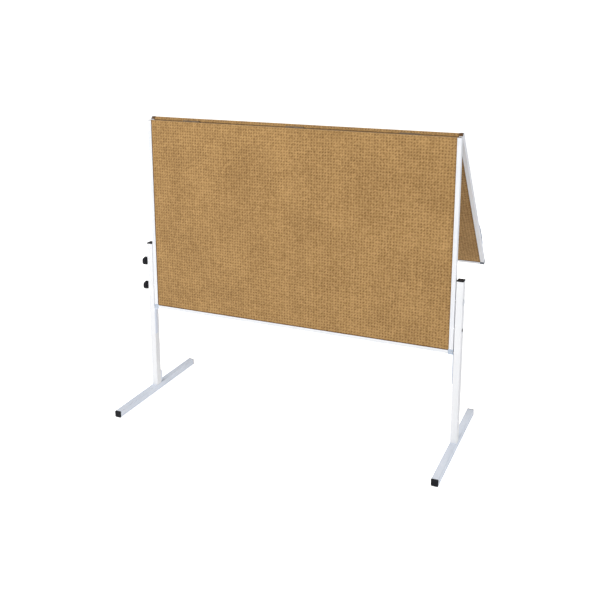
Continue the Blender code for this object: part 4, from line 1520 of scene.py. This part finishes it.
@dataclass
class Handle:
    """A bowed strap on the outer face of an upper stile, near its free end."""

    board: Board
    place: Place
    side: Side
    start: float = 517 * MM
    span: float = 143 * MM
    foot: float = 13 * MM
    end_rise: float = 8.6 * MM
    bow: float = 5.6 * MM
    thickness: float = 4.2 * MM
    strap: float = 10 * MM

    def path(self) -> list[Point2]:
        """(distance along the half, stand-off) of the strap's middle line."""
        base = self.thickness / 2
        end = self.start + self.span
        rise, middle, half = self.end_rise, self.start + self.span / 2, self.span / 2 - self.foot / 2
        left = [(self.start, base), (self.start + self.foot * 0.55, base)]
        arch = []
        steps = 18
        for i in range(steps + 1):
            t = -1 + 2 * i / steps
            arch.append((middle + t * (half - 3 * MM), base + rise + self.bow * (1 - t * t)))
        blend_in = [(self.start + self.foot * 0.72, base + 0.8 * MM), (self.start + self.foot * 0.78, base + rise * 0.5), (self.start + self.foot * 0.82, base + rise * 0.85)]
        blend_out = [(self.start + end - along, rise_at) for along, rise_at in reversed(blend_in)]
        right = [(end - self.foot * 0.55, base), (end, base)]
        return left + blend_in + arch[1:-1] + blend_out + right

    def build(self, shop: Workshop) -> None:
        """Builds the strap and its two screws."""
        middle = self.side.value * (self.board.width / 2 - 7.5 * MM)
        face = self.board.front - 0.3 * MM
        points = [self.place.point(middle, face - rise, along) for along, rise in self.path()]
        mesh = bpy.data.meshes.new("handle_path")
        mesh.from_pydata(points, [(i, i + 1) for i in range(len(points) - 1)], [])
        made = bpy.data.objects.new(f"{self.side.label}_bow_handle", mesh)
        bpy.context.scene.collection.objects.link(made)
        material = shop.paints.solid(HANDLE_METAL)
        shop.trees.strap.run(made, Width=self.strap, Thickness=self.thickness, Finish=material)
        dress(made, material, "upper_half", [f"upper_handle_{self.side.label}"], smooth=45.0)
        seat = face - self.thickness - 0.3 * MM
        places = [self.place.point(middle, seat, along) for along in (self.start + 3.2 * MM, self.start + self.span - 3.2 * MM)]
        shop.screws(f"{self.side.label}_handle_screws", places, 2.6 * MM, 1.2 * MM, self.place.direction(0, -1, 0), SCREW_BLACK, "upper_half")


@dataclass
class HingeRow:
    """The screws that hold the hinge leaves."""

    board: Board
    place: Place
    half: str
    body: str
    screws_per_leaf: int = 3
    pitch: float = 24 * MM
    row: float = 17 * MM

    def build(self, shop: Workshop) -> None:
        """Sets the screws on each leaf."""
        places = []
        for number in (1, 2, 3):
            node = f"{self.half}_hinge_leaf_{number}"
            low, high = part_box(node)
            middle = (low.x + high.x) / 2 - self.board.axis.x
            for i in range(self.screws_per_leaf):
                x = middle + (i - (self.screws_per_leaf - 1) / 2) * self.pitch
                stagger = 3 * MM if i % 2 else -3 * MM
                places.append(self.place.point(x, self.board.back + 0.35 * MM, self.row + stagger))
        facing = self.place.direction(0, 1, 0)
        shop.screws(f"{self.half}_hinge_screws", places, 3.1 * MM, 0.9 * MM, facing, HINGE_STEEL, self.body)


@dataclass
class Half:
    """One half of the board."""

    name: str
    body: str
    board: Board
    place: Place
    corners: dict[Side, SolidFinish]
    bored: bool
    seed: int

    def build(self, shop: Workshop) -> None:
        """Builds cloth, frame, hinge screws and, on the upper half, the handles."""
        jute = JuteSheet(self.board, self.place, self.seed)
        jute.build(shop, f"{self.name}_jute_cloth", self.body, f"{self.name}_jute", JuteFinish())
        Frame(self.board, self.place, self.name, self.body).build(shop, self.corners, self.bored)
        HingeRow(self.board, self.place, self.name, self.body).build(shop)
        if not self.bored:
            for side in Side:
                Handle(self.board, self.place, side).build(shop)


# ---------------------------------------------------------------- carried-over nodes


def finish_cad_nodes(shop: Workshop) -> None:
    """Gives each CAD node that still shows its finished material.

    Args:
        shop: The workshop.
    """
    finishes = {"core": CORE_BOARD, "hinge": HINGE_STEEL, "spacer": ZINC, "nut_block": ZINC, "knob_stud": ZINC}
    for name, node in frame["nodes"].items():
        if node.hide_render:
            continue
        finish = next(look for key, look in finishes.items() if key in name)
        node.data.materials.clear()
        node.data.materials.append(shop.paints.solid(finish))


# ---------------------------------------------------------------- studio


@dataclass
class Studio:
    """The camera, the pale floor and the soft lights."""

    camera_place: tuple[float, float, float] = (1.199, -2.843, 1.505)
    azimuth: float = 23.18
    tilt: float = 12.8
    lens: float = 50.8
    shift: float = -0.158
    floor_size: float = 60.0
    floor_glow: float = 0.8
    floor_light: float = 0.32
    ambient: float = 0.46

    def build_camera(self) -> None:
        """A camera at the eye level of someone standing in front of the board's right side."""
        data = bpy.data.cameras.new("camera")
        data.lens = self.lens
        data.sensor_width = 36.0
        data.shift_y = self.shift
        data.clip_end = 200.0
        camera = bpy.data.objects.new("camera", data)
        a, e = math.radians(self.azimuth), math.radians(self.tilt)
        look = Vector((-math.sin(a) * math.cos(e), math.cos(a) * math.cos(e), -math.sin(e)))
        camera.location = self.camera_place
        camera.rotation_euler = look.to_track_quat("-Z", "Y").to_euler()
        bpy.context.scene.collection.objects.link(camera)
        bpy.context.scene.camera = camera

    def build_floor(self) -> None:
        """A large matt white floor that glows a little, as a lit studio table does."""
        size = self.floor_size / 2
        mesh = bpy.data.meshes.new("studio_floor")
        mesh.from_pydata([(-size, -size, 0), (size, -size, 0), (size, size, 0), (-size, size, 0)], [], [(0, 1, 2, 3)])
        floor = bpy.data.objects.new("studio_floor", mesh)
        bpy.context.scene.collection.objects.link(floor)
        material, w, shader = new_material("studio_white")
        place = w.node("ShaderNodeTexCoord").outputs["Object"]
        tone = w.blend(w.noise(place, 1.5, 2.0), (0.88, 0.88, 0.88), (0.90, 0.90, 0.90))
        w.feed(shader.inputs["Base Color"], tone)
        shader.inputs["Roughness"].default_value = 0.9
        shader.inputs["Specular IOR Level"].default_value = 0.1
        shader.inputs["Emission Color"].default_value = (1.0, 1.0, 1.0, 1.0)
        seen = w.node("ShaderNodeLightPath").outputs["Is Camera Ray"]
        w.feed(shader.inputs["Emission Strength"], w.ramp(seen, 0.0, 1.0, self.floor_light, self.floor_glow))
        mesh.materials.append(material)

    def build_world(self) -> None:
        """An even white surround, dimmer as a light than as a backdrop."""
        world = bpy.data.worlds.new("studio")
        bpy.context.scene.world = world
        world.use_nodes = True
        w = Wiring(world.node_tree)
        background = world.node_tree.nodes["Background"]
        background.inputs["Color"].default_value = (1.0, 1.0, 1.0, 1.0)
        seen = w.node("ShaderNodeLightPath").outputs["Is Camera Ray"]
        w.feed(background.inputs["Strength"], w.ramp(seen, 0.0, 1.0, self.ambient, 1.1))

    def build_light(self, name: str, place: Sequence[float], aim: Sequence[float], size: Point2, watts: float, colour: Colour) -> None:
        """One soft rectangular lamp.

        Args:
            name: Its name.
            place: Where it hangs.
            aim: What it points at.
            size: Its width and height.
            watts: Its power.
            colour: Its colour.
        """
        data = bpy.data.lights.new(name, "AREA")
        data.shape = "RECTANGLE"
        data.size, data.size_y = size
        data.energy = watts
        data.color = colour
        lamp = bpy.data.objects.new(name, data)
        lamp.location = place
        lamp.rotation_euler = (Vector(aim) - Vector(place)).to_track_quat("-Z", "Y").to_euler()
        bpy.context.scene.collection.objects.link(lamp)

    def build(self) -> None:
        """Builds the studio."""
        self.build_camera()
        self.build_floor()
        self.build_world()
        self.build_light("key", (-1.5, -3.1, 3.6), (0.0, 0.0, 0.5), (3.2, 2.2), 130.0, (1.0, 0.985, 0.96))
        self.build_light("fill", (3.4, -1.8, 1.9), (0.2, 0.0, 0.6), (2.2, 2.2), 15.0, (0.93, 0.965, 1.0))
        self.build_light("rim", (0.6, 3.6, 2.8), (0.0, 0.0, 0.7), (3.2, 1.8), 34.0, (0.95, 0.975, 1.0))
        bpy.context.scene.view_settings.view_transform = "Standard"


# ---------------------------------------------------------------- assembly


def main() -> None:
    """Builds the studio and the whole board."""
    logging.basicConfig(level=logging.INFO, format="%(message)s")
    Studio().build()
    shop = Workshop(Paints(), Trees())
    for side in Side:
        Leg(side).build(shop)
    for level in Level:
        Knob(level).build(shop)
        PostScrew(level).build(shop)
    board = Board.read()
    corners = {Side.LEFT: CORNER_PLASTIC, Side.RIGHT: CORNER_PLASTIC}
    Half("lower", "stand", board, Place(board.axis, 0.0, -1.0), corners, True, 3).build(shop)
    turned_over = board.hang - math.pi
    # The upper right corner takes the painted-shade copy of the corner plastic.
    corners = {Side.LEFT: CORNER_PLASTIC, Side.RIGHT: DARK_CORNER}
    Half("upper", "upper_half", board, Place(board.axis, turned_over, 1.0), corners, False, 5).build(shop)
    finish_cad_nodes(shop)


if __name__ == "__main__":
    main()
